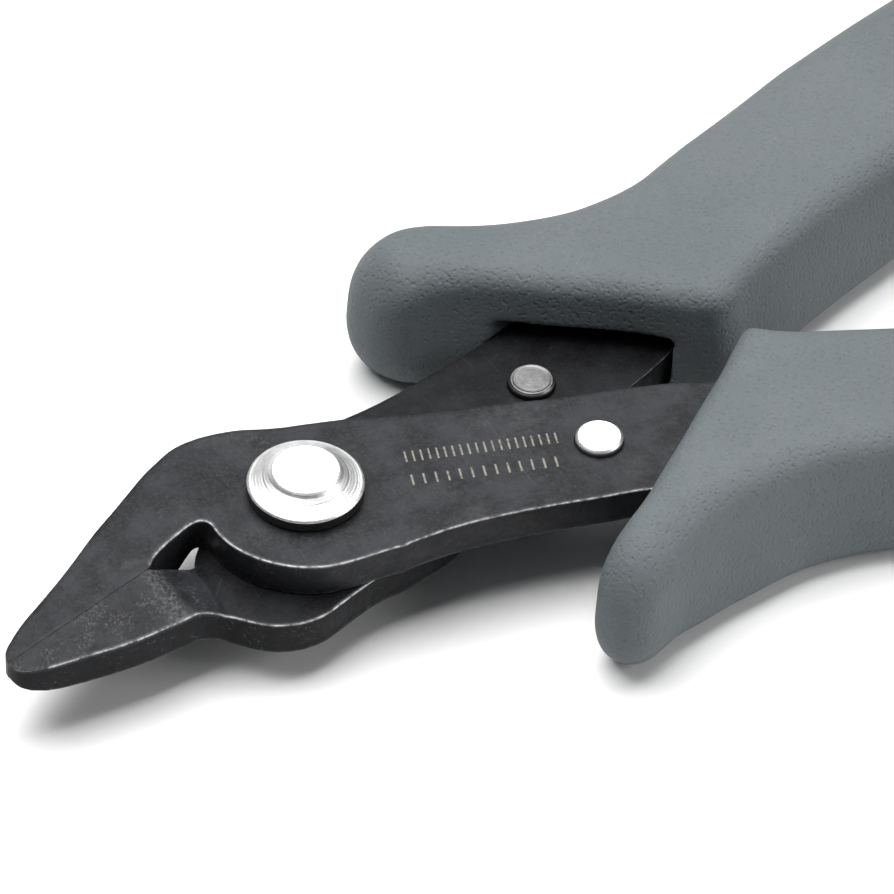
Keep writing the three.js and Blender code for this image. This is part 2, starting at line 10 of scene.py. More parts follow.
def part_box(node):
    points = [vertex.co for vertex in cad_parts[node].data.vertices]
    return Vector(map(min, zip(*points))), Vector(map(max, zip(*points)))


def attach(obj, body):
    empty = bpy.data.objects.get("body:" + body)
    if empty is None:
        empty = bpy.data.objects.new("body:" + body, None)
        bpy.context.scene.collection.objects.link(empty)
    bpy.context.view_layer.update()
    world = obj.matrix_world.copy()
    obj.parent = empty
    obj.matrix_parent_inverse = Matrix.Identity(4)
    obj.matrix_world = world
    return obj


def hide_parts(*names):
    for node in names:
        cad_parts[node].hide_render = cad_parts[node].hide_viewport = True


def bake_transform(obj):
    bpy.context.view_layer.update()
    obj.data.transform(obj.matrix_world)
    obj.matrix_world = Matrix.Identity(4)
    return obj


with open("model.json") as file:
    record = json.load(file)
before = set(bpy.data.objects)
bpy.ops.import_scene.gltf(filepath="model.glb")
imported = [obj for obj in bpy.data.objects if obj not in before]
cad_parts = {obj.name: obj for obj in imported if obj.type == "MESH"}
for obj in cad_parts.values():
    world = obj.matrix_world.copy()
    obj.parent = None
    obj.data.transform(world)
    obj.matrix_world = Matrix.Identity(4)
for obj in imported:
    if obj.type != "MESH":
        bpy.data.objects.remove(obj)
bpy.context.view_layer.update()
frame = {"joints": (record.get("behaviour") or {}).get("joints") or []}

# ------------------------------------------------------------------ frame
# Shapes are drawn in millimetres round the pivot axis (x = y = 0), as the CAD
# is, and moved to the row frame by the pivot joint's own place.
PIVOT = frame["joints"][0]["pos_m"]
SX, SY = PIVOT[0] * 1000, PIVOT[1] * 1000
GRIP_H = (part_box("grip_left")[1].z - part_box("grip_left")[0].z) * 1000


def to_row(a):
    a = np.array(a, float).reshape(-1, 3)
    return (a + [SX, SY, 0.0]) * 0.001


# ----------------------------------------------------------------- camera
F_PX, SIDE = 6500.0, 894.0
ELEV, ROLL, TURN = math.radians(44.2), math.radians(2.1), math.radians(29.8)


def view_to_tool(v):
    c, s = math.cos(TURN), math.sin(TURN)
    return np.array([c * v[0] + s * v[1], -s * v[0] + c * v[1], v[2]])


R0 = np.array([[1, 0, 0], [0, -math.sin(ELEV), -math.cos(ELEV)], [0, math.cos(ELEV), -math.sin(ELEV)]])
RR = np.array([[math.cos(ROLL), -math.sin(ROLL), 0], [math.sin(ROLL), math.cos(ROLL), 0], [0, 0, 1]])
R = RR @ R0
DIST = F_PX / 15.4
PC = np.array([(305.5 - SIDE / 2) / F_PX * DIST, (491.2 - SIDE / 2) / F_PX * DIST, DIST])
CAM_AT = to_row(view_to_tool(np.array([0, 0, 7.75]) - R.T @ PC))[0]
AX, AY, AZ = view_to_tool(R[0]), -view_to_tool(R[1]), -view_to_tool(R[2])
cam_data = bpy.data.cameras.new("camera")
cam_data.sensor_width = 36.0
cam_data.lens = F_PX / SIDE * 36.0
cam_data.clip_start = 0.01
cam_data.clip_end = 20
camera = bpy.data.objects.new("camera", cam_data)
bpy.context.scene.collection.objects.link(camera)
M = Matrix.Identity(4)
for i in range(3):
    M[i][0], M[i][1], M[i][2], M[i][3] = AX[i], AY[i], AZ[i], CAM_AT[i]
camera.matrix_world = M
bpy.context.scene.camera = camera


# -------------------------------------------------------------- node tools
class Nodes:
    def __init__(self, name):
        self.mat = bpy.data.materials.new(name)
        self.mat.use_nodes = True
        self.t = self.mat.node_tree
        self.t.nodes.clear()
        self.out = self.add("ShaderNodeOutputMaterial")
        self.bsdf = self.add("ShaderNodeBsdfPrincipled")
        self.link(self.bsdf.outputs[0], self.out.inputs[0])
        tc = self.add("ShaderNodeTexCoord")
        m = self.add("ShaderNodeMapping")
        m.inputs["Scale"].default_value = (1000, 1000, 1000)
        self.link(tc.outputs["Object"], m.inputs[0])
        self.mm = m.outputs[0]

    def add(self, kind, **props):
        n = self.t.nodes.new(kind)
        for k, v in props.items():
            setattr(n, k, v)
        return n

    def link(self, a, b):
        self.t.links.new(a, b)

    def set(self, **values):
        for k, v in values.items():
            self.bsdf.inputs[k.replace("_", " ")].default_value = v

    def mapped(self, scale=(1, 1, 1), rot=(0, 0, 0), loc=(0, 0, 0)):
        m = self.add("ShaderNodeMapping")
        m.inputs["Scale"].default_value = scale
        m.inputs["Rotation"].default_value = rot
        m.inputs["Location"].default_value = loc
        self.link(self.mm, m.inputs[0])
        return m.outputs[0]

    def noise(self, scale, detail=4, rough=0.55, vec=None, distort=0.0):
        n = self.add("ShaderNodeTexNoise")
        n.inputs["Scale"].default_value = scale
        n.inputs["Detail"].default_value = detail
        n.inputs["Roughness"].default_value = rough
        n.inputs["Distortion"].default_value = distort
        self.link(vec or self.mm, n.inputs["Vector"])
        return n.outputs["Fac"]

    def voronoi(self, scale, feature="F1", vec=None, rand=1.0):
        n = self.add("ShaderNodeTexVoronoi", feature=feature)
        n.inputs["Scale"].default_value = scale
        n.inputs["Randomness"].default_value = rand
        self.link(vec or self.mm, n.inputs["Vector"])
        return n.outputs["Distance"]

    def ramp(self, fac, lo, hi, a=0.0, b=1.0, mode="SMOOTHSTEP"):
        n = self.add("ShaderNodeMapRange", interpolation_type=mode)
        n.inputs["From Min"].default_value = lo
        n.inputs["From Max"].default_value = hi
        n.inputs["To Min"].default_value = a
        n.inputs["To Max"].default_value = b
        self.link(fac, n.inputs["Value"])
        return n.outputs[0]

    def math(self, op, a, b=0.0, clamp=False):
        n = self.add("ShaderNodeMath", operation=op, use_clamp=clamp)
        for k, v in enumerate((a, b)):
            if isinstance(v, (int, float)):
                n.inputs[k].default_value = v
            else:
                self.link(v, n.inputs[k])
        return n.outputs[0]

    def mix(self, fac, a, b):
        n = self.add("ShaderNodeMix", data_type="RGBA")
        if isinstance(fac, (int, float)):
            n.inputs[0].default_value = fac
        else:
            self.link(fac, n.inputs[0])
        for k, v in ((6, a), (7, b)):
            if isinstance(v, tuple):
                n.inputs[k].default_value = (*v, 1.0)
            else:
                self.link(v, n.inputs[k])
        return n.outputs[2]

    def attr(self, name):
        n = self.add("ShaderNodeAttribute", attribute_name=name)
        return n.outputs["Fac"]

    def bump(self, height, distance_mm, strength=1.0, normal=None):
        n = self.add("ShaderNodeBump")
        n.inputs["Strength"].default_value = strength
        n.inputs["Distance"].default_value = distance_mm * 0.001
        self.link(height, n.inputs["Height"])
        if normal is not None:
            self.link(normal, n.inputs["Normal"])
        return n.outputs[0]

    def split(self, vec=None):
        n = self.add("ShaderNodeSeparateXYZ")
        self.link(vec or self.mm, n.inputs[0])
        return n.outputs


def black_steel(name, marks=False):
    """Black oxide on stamped steel: mottled, flecked, scratched, bright where the edges have worn and where they catch
    the light (painted highlight), and darker on the lower plate's recessed flat (painted shade).
    """
    n = Nodes(name)
    wear, side, ground = n.attr("wear"), n.attr("side"), n.attr("ground")
    tool = n.mapped(loc=(-SX, 0, 0))
    tx = n.split(tool)[0]
    cloud = n.noise(0.42, 5, 0.62)
    fine = n.noise(4.6, 5, 0.7)
    grit = n.noise(11.0, 3, 0.6)
    col = n.mix(n.ramp(cloud, 0.34, 0.66), (0.0060, 0.0065, 0.0084), (0.0215, 0.0225, 0.0262))
    col = n.mix(n.math("MULTIPLY", n.ramp(fine, 0.45, 0.72), 0.8), col, (0.034, 0.0345, 0.0375))
    # rubbed patches, and light flecks that are sparse on the flat and thick on ground faces
    rubbed = n.math("MULTIPLY", n.ramp(n.noise(0.22, 3, 0.6), 0.52, 0.70), n.ramp(n.noise(2.6, 4, 0.7), 0.40, 0.66))
    col = n.mix(n.math("MULTIPLY", rubbed, 0.5), col, (0.047, 0.047, 0.048))
    fleck = n.math("MULTIPLY", n.ramp(grit, 0.60, 0.70), n.ramp(n.noise(1.3, 3, 0.6), 0.45, 0.68))
    col = n.mix(n.math("MULTIPLY", fleck, 0.6), col, (0.09, 0.09, 0.087))
    gfleck = n.math("MULTIPLY", n.ramp(n.noise(5.5, 4, 0.72), 0.48, 0.66), n.ramp(n.noise(0.8, 3, 0.5), 0.40, 0.66))
    band = n.math("MULTIPLY", n.ramp(tx, -13.0, -12.3), n.ramp(tx, -11.6, -10.9, 1.0, 0.0))
    more = n.math("MULTIPLY", band, n.ramp(n.noise(4.0, 5, 0.75), 0.44, 0.60))
    gfleck = n.math("MULTIPLY", n.math("MAXIMUM", gfleck, more), ground)
    col = n.mix(n.math("MULTIPLY", ground, 0.30), col, (0.010, 0.0105, 0.0125))
    col = n.mix(n.math("MULTIPLY", gfleck, 0.66), col, (0.095, 0.095, 0.096))
    if not marks:
        # painted shade: the recessed flat of the lower plate is darkened, as it lies in the shade of the upper plate's
        # wall
        col = n.mix(n.ramp(ground, 0.0, 0.5, 0.55, 0.0), col, (0.0035, 0.0037, 0.0043))
    # the sheared flanks are darker, with bright torn flecks
    col = n.mix(n.math("MULTIPLY", side, 0.5), col, (0.0095, 0.0098, 0.0108))
    torn = n.math("MULTIPLY", n.ramp(n.noise(3.2, 5, 0.75, vec=n.mapped(scale=(1.0, 1.0, 1.3))), 0.56, 0.66), n.ramp(n.noise(0.5, 2, 0.5), 0.42, 0.62))
    torn = n.math("MULTIPLY", n.math("MULTIPLY", torn, side), n.ramp(tx, 12.0, 4.0, 0.15, 1.0))
    col = n.mix(n.math("MULTIPLY", torn, 0.6), col, (0.085, 0.085, 0.085))
    # a few long scratches
    flat = n.ramp(side, 0.0, 0.5, 1.0, 0.0)
    scr = n.voronoi(0.32, "DISTANCE_TO_EDGE", vec=n.mapped(scale=(0.16, 2.6, 0.4), rot=(0, 0, math.radians(38))))
    scr = n.math("MULTIPLY", n.ramp(scr, 0.0, 0.008, 1.0, 0.0), n.ramp(n.noise(0.35, 2, 0.5), 0.52, 0.66))
    scr2 = n.voronoi(0.5, "DISTANCE_TO_EDGE", vec=n.mapped(scale=(1.9, 0.14, 0.4), rot=(0, 0, math.radians(25))))
    scr2 = n.math("MULTIPLY", n.ramp(scr2, 0.0, 0.010, 1.0, 0.0), n.ramp(n.noise(0.3, 2, 0.5, vec=n.mapped(loc=(7, 3, 1))), 0.50, 0.62))
    scr = n.math("MULTIPLY", n.math("MAXIMUM", scr, n.math("MULTIPLY", scr2, 0.7)), flat)
    col = n.mix(n.math("MULTIPLY", scr, 0.30), col, (0.075, 0.075, 0.075))
    # worn edges, with painted highlight: the bright edge colour also stands for light caught on the edges that face the
    # viewer
    patch = n.ramp(n.noise(1.7, 4, 0.65), 0.34, 0.62, 0.15, 1.0)
    edge = n.math("MULTIPLY", n.ramp(wear, 0.15, 0.95), patch, clamp=True)
    if marks:
        # plain etched ticks in two rows, in place of a marking
        turn = math.radians(16.6)
        x, y, height = n.split(n.mapped(rot=(0, 0, turn), loc=(-SX * math.cos(turn), -SX * math.sin(turn), 0)))

        def band_of(v, lo, hi, soft=0.05):
            return n.math("MULTIPLY", n.ramp(v, lo, lo + soft), n.ramp(v, hi - soft, hi, 1.0, 0.0))
        rows = None
        for x0, x1, yc, h, pitch, duty in ((6.95, 17.3, 1.985, 0.52, 0.53, 0.30), (6.95, 17.3, -0.19, 0.50, 0.80, 0.24)):
            tick = n.math("FRACT", n.math("DIVIDE", n.math("SUBTRACT", x, x0), pitch))
            t = n.math("MULTIPLY", n.ramp(tick, 0.0, 0.10), n.ramp(tick, duty - 0.08, duty + 0.02, 1.0, 0.0))
            t = n.math("MULTIPLY", t, band_of(y, yc - h, yc + h))
            t = n.math("MULTIPLY", t, band_of(x, x0 - 0.02, x1))
            rows = t if rows is None else n.math("MAXIMUM", rows, t)
        rows = n.math("MULTIPLY", rows, n.ramp(n.noise(3.0, 3, 0.6), 0.30, 0.55, 0.35, 1.0))
        rows = n.math("MULTIPLY", rows, flat)
        # on the upper face only
        rows = n.math("MULTIPLY", rows, n.ramp(height, 7.3, 7.5))
        col = n.mix(n.math("MULTIPLY", rows, 0.85), col, (0.25, 0.236, 0.20))
    col = n.mix(n.math("MULTIPLY", edge, 0.95), col, (0.40, 0.40, 0.405))
    n.link(col, n.bsdf.inputs["Base Color"])
    n.link(n.ramp(edge, 0.0, 1.0, 0.10, 0.6), n.bsdf.inputs["Metallic"])
    rough = n.ramp(n.noise(2.3, 4, 0.6), 0.3, 0.7, 0.40, 0.54)
    n.link(n.math("SUBTRACT", rough, n.math("MULTIPLY", edge, 0.10)), n.bsdf.inputs["Roughness"])
    h = n.math("ADD", n.math("MULTIPLY", n.noise(7.0, 5, 0.65), 0.8), n.math("MULTIPLY", n.noise(0.8, 2, 0.5), 0.35))
    h = n.math("ADD", h, n.math("MULTIPLY", n.math("MULTIPLY", n.noise(5.0, 5, 0.7, vec=n.mapped(scale=(1.0, 1.0, 0.5))), ground), 1.4))
    h = n.math("SUBTRACT", h, n.math("MULTIPLY", scr, 0.8))
    # flanks: drag lines of the punch, up and down
    drag = n.noise(3.4, 4, 0.6, vec=n.mapped(scale=(1.0, 1.0, 0.14)))
    h = n.math("ADD", h, n.math("MULTIPLY", n.math("MULTIPLY", drag, side), 1.6))
    n.link(n.bump(h, 0.022, 0.9), n.bsdf.inputs["Normal"])
    if marks:
        n.set(Specular_IOR_Level=0.17)
    else:
        n.link(n.ramp(ground, 0.0, 0.5, 0.09, 0.17), n.bsdf.inputs["Specular IOR Level"])
    return n.mat


def turned_steel(name, cx, cy, ring_pitch=0.13, dull=0.0):
    """Bright turned steel, with concentric tool marks round (cx, cy) in row-frame millimetres."""
    n = Nodes(name)
    p = n.mapped(loc=(-cx, -cy, 0))
    x, y, z = n.split(p)
    rad = n.math("SQRT", n.math("ADD", n.math("MULTIPLY", x, x), n.math("MULTIPLY", y, y)))
    wob = n.math("ADD", n.math("DIVIDE", rad, ring_pitch), n.math("MULTIPLY", z, 3.0))
    line = n.add("ShaderNodeTexNoise", noise_dimensions="1D")
    line.inputs["Scale"].default_value = 1.0
    line.inputs["Detail"].default_value = 3
    line.inputs["Roughness"].default_value = 0.65
    n.link(wob, line.inputs["W"])
    tone = n.ramp(n.noise(1.1, 4, 0.6), 0.3, 0.7)
    a, b = (0.76 - 0.65 * dull,) * 3, (0.94 - 0.77 * dull,) * 3
    col = n.mix(tone, a, b)
    smut = n.math("MULTIPLY", n.ramp(n.noise(5.0, 4, 0.7), 0.55, 0.75), 0.35)
    col = n.mix(smut, col, (0.40, 0.40, 0.40))
    dark = n.attr("shade")
    col = n.mix(dark, col, (0.035, 0.035, 0.037))
    n.link(col, n.bsdf.inputs["Base Color"])
    n.set(Metallic=1.0, Anisotropic=0.0)
    n.link(n.ramp(line.outputs["Fac"], 0.25, 0.75, 0.36, 0.52), n.bsdf.inputs["Roughness"])
    h = n.math("ADD", line.outputs["Fac"], n.math("MULTIPLY", n.noise(9.0, 3, 0.6), 0.12 + 0.5 * dull))
    n.link(n.bump(h, 0.012, 0.8), n.bsdf.inputs["Normal"])
    return n.mat


def wire_steel(name):
    n = Nodes(name)
    tone = n.ramp(n.noise(0.8, 4, 0.6), 0.3, 0.7)
    col = n.mix(tone, (0.26, 0.265, 0.28), (0.46, 0.465, 0.48))
    col = n.mix(n.math("MULTIPLY", n.ramp(n.noise(4.0, 3, 0.7), 0.55, 0.72), 0.5), col, (0.12, 0.12, 0.13))
    n.link(col, n.bsdf.inputs["Base Color"])
    n.set(Metallic=1.0)
    n.link(n.ramp(n.noise(2.5, 3, 0.6), 0.3, 0.7, 0.22, 0.42), n.bsdf.inputs["Roughness"])
    n.link(n.bump(n.noise(10.0, 3, 0.6), 0.006, 0.7), n.bsdf.inputs["Normal"])
    return n.mat


def grip_plastic(name):
    """Soft-touch moulded plastic with a fine leather grain."""
    n = Nodes(name)
    big = n.noise(0.09, 3, 0.5)
    mid = n.noise(0.8, 4, 0.6)
    col = n.mix(n.ramp(big, 0.3, 0.7), (0.099, 0.114, 0.120), (0.112, 0.127, 0.133))
    cells = n.voronoi(3.0, "SMOOTH_F1")
    grain = n.noise(3.9, 4, 0.66)
    pores = n.ramp(cells, 0.05, 0.42)
    col = n.mix(n.math("MULTIPLY", n.ramp(grain, 0.52, 0.74), 0.50), col, (0.165, 0.184, 0.191))
    col = n.mix(n.math("MULTIPLY", n.ramp(mid, 0.5, 0.8), 0.22), col, (0.072, 0.083, 0.089))
    rub = n.attr("wear")
    col = n.mix(n.math("MULTIPLY", rub, 0.35), col, (0.27, 0.295, 0.30))
    n.link(col, n.bsdf.inputs["Base Color"])
    n.link(n.ramp(grain, 0.3, 0.7, 0.54, 0.68), n.bsdf.inputs["Roughness"])
    h = n.math("ADD", n.math("MULTIPLY", pores, 0.75), n.math("MULTIPLY", grain, 1.0))
    n.link(n.bump(h, 0.085, 0.8), n.bsdf.inputs["Normal"])
    n.set(Specular_IOR_Level=0.2)
    return n.mat


# ------------------------------------------------------------ curve tools
def catmull(points, t, closed=False):
    """Centripetal Catmull-Rom through points, at parameters t (0 to the number of spans)."""
    P = np.array(points, float)
    n = len(P)
    t = np.atleast_1d(t)
    spans = n if closed else n - 1
    i = np.minimum(np.floor(t).astype(int), spans - 1)
    w = (t - i)[:, None]
    if closed:
        p0, p1, p2, p3 = P[(i - 1) % n], P[i % n], P[(i + 1) % n], P[(i + 2) % n]
    else:
        ext = np.vstack([2 * P[0] - P[1], P, 2 * P[-1] - P[-2]])
        p0, p1, p2, p3 = ext[i], ext[i + 1], ext[i + 2], ext[i + 3]
    d = lambda a, b: np.maximum(np.linalg.norm(a - b, axis=1), 1e-9)[:, None] ** 0.5
    d0, d1, d2 = d(p0, p1), d(p1, p2), d(p2, p3)
    t1 = ((p1 - p0) / d0 - (p2 - p0) / (d0 + d1) + (p2 - p1) / d1) * d1
    t2 = ((p2 - p1) / d1 - (p3 - p1) / (d1 + d2) + (p3 - p2) / d2) * d1
    return p1 + t1 * w + (-3 * p1 + 3 * p2 - 2 * t1 - t2) * w**2 + (2 * p1 - 2 * p2 + t1 + t2) * w**3


def smooth(points, step):
    dense = catmull(points, np.linspace(0, len(points) - 1, (len(points) - 1) * 40 + 1))
    arc = np.r_[0, np.cumsum(np.linalg.norm(np.diff(dense, axis=0), axis=1))]
    n = max(2, int(round(arc[-1] / step)))
    s = np.linspace(0, arc[-1], n + 1)
    return np.stack([np.interp(s, arc, dense[:, k]) for k in range(dense.shape[1])], 1)


def straight(a, b, step):
    a, b = np.array(a, float), np.array(b, float)
    n = max(1, int(round(np.linalg.norm(b - a) / step)))
    return a + (b - a) * np.linspace(0, 1, n + 1)[:, None]


def chain(*runs):
    """Joins (points, values) runs end to end. values are per-run numbers kept for each point."""
    pts, tags = [], []
    for run, tag in runs:
        for p in run:
            if pts and np.hypot(*(np.array(p[:2]) - pts[-1][:2])) < 0.02:
                continue
            pts.append(np.array(p[:2], float))
            tags.append(tag)
    if np.hypot(*(pts[0] - pts[-1])) < 0.02:
        pts.pop(), tags.pop()
    return np.array(pts), np.array(tags, float)


def in_poly(p, poly):
    x, y = p[:, 0][:, None], p[:, 1][:, None]
    a, b = poly, np.roll(poly, -1, axis=0)
    cond = (a[:, 1] > y) != (b[:, 1] > y)
    with np.errstate(divide="ignore", invalid="ignore"):
        xi = (b[:, 0] - a[:, 0]) * (y - a[:, 1]) / (b[:, 1] - a[:, 1]) + a[:, 0]
    return (np.sum(cond & (x < xi), axis=1) % 2) == 1


def inward_normals(P):
    """Inward mitre vectors of a closed outline whose material is on its left."""
    a, b = P - np.roll(P, 1, 0), np.roll(P, -1, 0) - P
    na = np.stack([-a[:, 1], a[:, 0]], 1) / np.linalg.norm(a, axis=1)[:, None]
    nb = np.stack([-b[:, 1], b[:, 0]], 1) / np.linalg.norm(b, axis=1)[:, None]
    m = na + nb
    m /= np.maximum(np.linalg.norm(m, axis=1), 1e-9)[:, None]
    k = 1 / np.maximum(np.sum(m * na, axis=1), 0.45)
    return m * k[:, None]


def add_object(name, verts_mm, faces, body, material, attrs=None, replaces=None, smooth_shade=True):
    me = bpy.data.meshes.new(name)
    me.from_pydata(to_row(verts_mm).tolist(), [], [tuple(int(i) for i in f) for f in faces])
    for key, values in (attrs or {}).items():
        a = me.attributes.new(key, "FLOAT", "POINT")
        a.data.foreach_set("value", np.asarray(values, np.float32))
    me.validate()
    me.update()
    if smooth_shade:
        me.polygons.foreach_set("use_smooth", np.ones(len(me.polygons), bool))
    ob = bpy.data.objects.new(name, me)
    bpy.context.scene.collection.objects.link(ob)
    me.materials.append(material)
    if body:
        finish_piece(ob, body, replaces)
    return ob


def finish_piece(ob, body, replaces=None):
    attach(ob, body)
    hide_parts(replaces or ob.name.replace("_v", ""))


# ------------------------------------------------------------ plate maker
def fbm(x, y, z, octaves=3):
    v, amp, f = 0.0, 1.0, 1.0
    for _ in range(octaves):
        v += amp * noise.noise(Vector((x * f, y * f, z * f)))
        amp *= 0.5
        f *= 2.1
    return v


def plate(outline, r_top, r_bot, wear, holes, z_top, z_bot, grid, crease_rows, rough=None, zone=None, walls=9, arcs=3):
    """A closed plate between two height fields, with rounded upper and lower edges all round.

    outline runs counter-clockwise; holes are (x, y, radius). rough gives, per outline point, how torn
    the flank is; zone(x, y) gives the ground mask of the upper face.
    """
    V, F = [], []
    at = {"wear": [], "side": [], "ground": []}

    def put(pts, w, s, g):
        base = len(V)
        V.extend(pts)
        at["wear"].extend(w)
        at["side"].extend(s)
        at["ground"].extend(g)
        return list(range(base, base + len(pts)))

    loops = [(outline, r_top, r_bot, wear, rough if rough is not None else np.zeros(len(outline)))]
    for hx, hy, hr in holes:
        n = 120 if hr > 2 else 88
        a = -np.linspace(0, 2 * np.pi, n, endpoint=False)
        c = np.stack([hx + hr * np.cos(a), hy + hr * np.sin(a)], 1)
        loops.append((c, np.full(n, 0.06), np.full(n, 0.05), np.full(n, 0.1), np.zeros(n)))
    top_rings, bot_rings = [], []
    for P, rt, rb, wr, rg in loops:
        N = inward_normals(P)
        zt0, zb0 = z_top(P[:, 0], P[:, 1]), z_bot(P[:, 0], P[:, 1])
        thick = np.maximum(zt0 - zb0, 0.02)
        rt, rb = np.minimum(rt, 0.4 * thick), np.minimum(rb, 0.3 * thick)
        n = len(P)
        rings = []
        # bottom edge, from the flat under-face out to the flank
        for k in range(arcs + 1):
            a = math.pi / 2 * k / arcs
            q = P + N * (rb * (1 - math.sin(a)))[:, None]
            zb = z_bot(*(P + N * rb[:, None]).T)
            z = zb + rb * (1 - math.cos(a))
            ids = put(np.c_[q, z].tolist(), wr * (0.35 if 0 < k else 0.15), np.full(n, 1.0 if k else 0.3), np.zeros(n))
            rings.append(ids)
            if k == 0:
                bot_rings.append((q, ids))
            z_low = z
        zt = z_top(*(P + N * rt[:, None]).T)
        z_high = zt - rt
        # flank: burnished band above, torn band below
        for k in range(1, walls):
            f = k / walls
            z = z_low + (z_high - z_low) * f
            tear = np.clip((0.62 - f) / 0.5, 0, 1) * np.clip(f / 0.12, 0, 1)
            d = np.array([fbm(p[0] * 1.6, p[1] * 1.6, z_ * 1.1) for p, z_ in zip(P, z)]) if rg.max() > 0 else np.zeros(n)
            inset = rg * (tear * (0.035 + 0.075 * (0.5 + d)) + 0.012 * d)
            q = P + N * inset[:, None]
            rings.append(put(np.c_[q, z].tolist(), wr * 0.05 + rg * 0.25 * np.clip(d, 0, 1), np.ones(n), np.zeros(n)))
        for k in range(arcs + 1):
            a = math.pi / 2 * (1 - k / arcs)
            q = P + N * (rt * (1 - math.sin(a)))[:, None]
            z = z_high + rt * math.cos(a)
            wv = wr * (0.35 if k == 0 else 1.0 if k < arcs else 0.45)
            g = zone(q[:, 0], q[:, 1]) if zone else np.zeros(n)
            ids = put(np.c_[q, z].tolist(), wv, np.full(n, (1.0, 0.35, 0.0, 0.0, 0.0)[min(k, 4)]), g)
            rings.append(ids)
            if k == arcs:
                top_rings.append((q, ids))
        for lo, hi in zip(rings[:-1], rings[1:]):
            for i in range(n):
                j = (i + 1) % n
                F.append((lo[i], lo[j], hi[j], hi[i]))

    def cap(rings, zf, flip, fade_wear, rows):
        pts = [p for q, _ in rings for p in q]
        edges, base = [], 0
        for q, _ in rings:
            m = len(q)
            edges += [(base + i, base + (i + 1) % m) for i in range(m)]
            base += m
        kd = kdtree.KDTree(len(pts))
        for i, p in enumerate(pts):
            kd.insert((p[0], p[1], 0), i)
        kd.balance()
        border = np.array(pts)
        outer = rings[0][0]
        free = []

        def offer(cands, clear, near=None):
            cands = np.array(cands, float).reshape(-1, 2)
            if not len(cands):
                return
            ok = in_poly(cands, outer)
            for q, _ in rings[1:]:
                ok &= ~in_poly(cands, q)
            for p in cands[ok]:
                if kd.find((p[0], p[1], 0))[2] < clear:
                    continue
                if near is not None and near.find((p[0], p[1], 0))[2] < near_clear(p):
                    continue
                free.append(p)

        near_clear = lambda p: 0.6 * grid(p[0])
        for q, _ in rings:
            N = inward_normals(q)
            ins = 0.3
            offer(q + N * ins, ins * 0.82)
        for row in rows:
            offer(row, 0.26)
        kd2 = kdtree.KDTree(max(1, len(free)))
        for i, p in enumerate(free):
            kd2.insert((p[0], p[1], 0), i)
        if not free:
            kd2.insert((1e6, 1e6, 0), 0)
        kd2.balance()
        lo, hi = outer.min(0), outer.max(0)
        cells, x, odd = [], lo[0], False
        while x < hi[0]:
            g = grid(x)
            y = lo[1] + (g / 2 if odd else 0)
            while y < hi[1]:
                cells.append((x, y))
                y += g
            x += g * 0.87
            odd = not odd
        offer(cells, 0.42, kd2)
        co, _, fa, ov, _, _ = geometry.delaunay_2d_cdt(
            [Vector((float(p[0]), float(p[1]))) for p in list(border) + free], edges, [], 0, 1e-7, True)
        co = np.array([[c[0], c[1]] for c in co])
        given = [i for _, ids in rings for i in ids]
        index = np.full(len(co), -1)
        for o, src in enumerate(ov):
            for s in src:
                if s < len(given):
                    index[o] = given[s]
        new = np.where(index < 0)[0]
        z = zf(co[new, 0], co[new, 1])
        g = zone(co[new, 0], co[new, 1]) if (zone and not flip) else np.zeros(len(new))
        ids = put(np.c_[co[new], z].tolist(), np.zeros(len(new)), np.zeros(len(new)), g)
        index[new] = ids
        tri = np.array([f for f in fa if len(f) == 3])
        cen = co[tri].mean(1)
        ok = in_poly(cen, outer)
        for q, _ in rings[1:]:
            ok &= ~in_poly(cen, q)
        tri = tri[ok]
        a, b, c = co[tri[:, 0]], co[tri[:, 1]], co[tri[:, 2]]
        area = (b[:, 0] - a[:, 0]) * (c[:, 1] - a[:, 1]) - (b[:, 1] - a[:, 1]) * (c[:, 0] - a[:, 0])
        for t, ar in zip(tri, area):
            if abs(ar) < 1e-12:
                continue
            t = t if (ar > 0) != flip else t[::-1]
            F.append(tuple(index[t]))

    cap(top_rings, z_top, False, True, crease_rows[0])
    cap(bot_rings, z_bot, True, False, crease_rows[1])
    return np.array(V), F, at


def grid_size(x):
    return 0.5 if x < 30 else 1.8


# ----------------------------------------------------------- blade levers
THROAT, TIP = np.array([-11.98, -1.42]), np.array([-23.38, -4.21])
CUT_LEN = float(np.linalg.norm(TIP - THROAT))
CUT_DIR = (TIP - THROAT) / CUT_LEN
CUT_N = np.array([CUT_DIR[1], -CUT_DIR[0]])
GAP = 0.006
off_cut = lambda p, d: (np.array(p) + CUT_N * d).tolist()
mirror = lambda pts: [[x, -y] for x, y in pts]

TANG_OUTER = [[19.5, 9.75], [22.5, 10.75], [26, 11.3], [30, 11.7], [35, 12.6], [40, 14.0], [46, 16.0], [54, 18.5], [62, 20.6], [70, 22.2], [76, 23.1]]
TANG_END = [[77.6, 22.6], [78.2, 21.2], [77.7, 19.6]]
TANG_INNER = [[76, 18.5], [70, 17.5], [62, 15.7], [54, 13.3], [46, 10.6], [40, 8.4], [35, 6.3], [31, 4.2], [28.7, 2.8]]

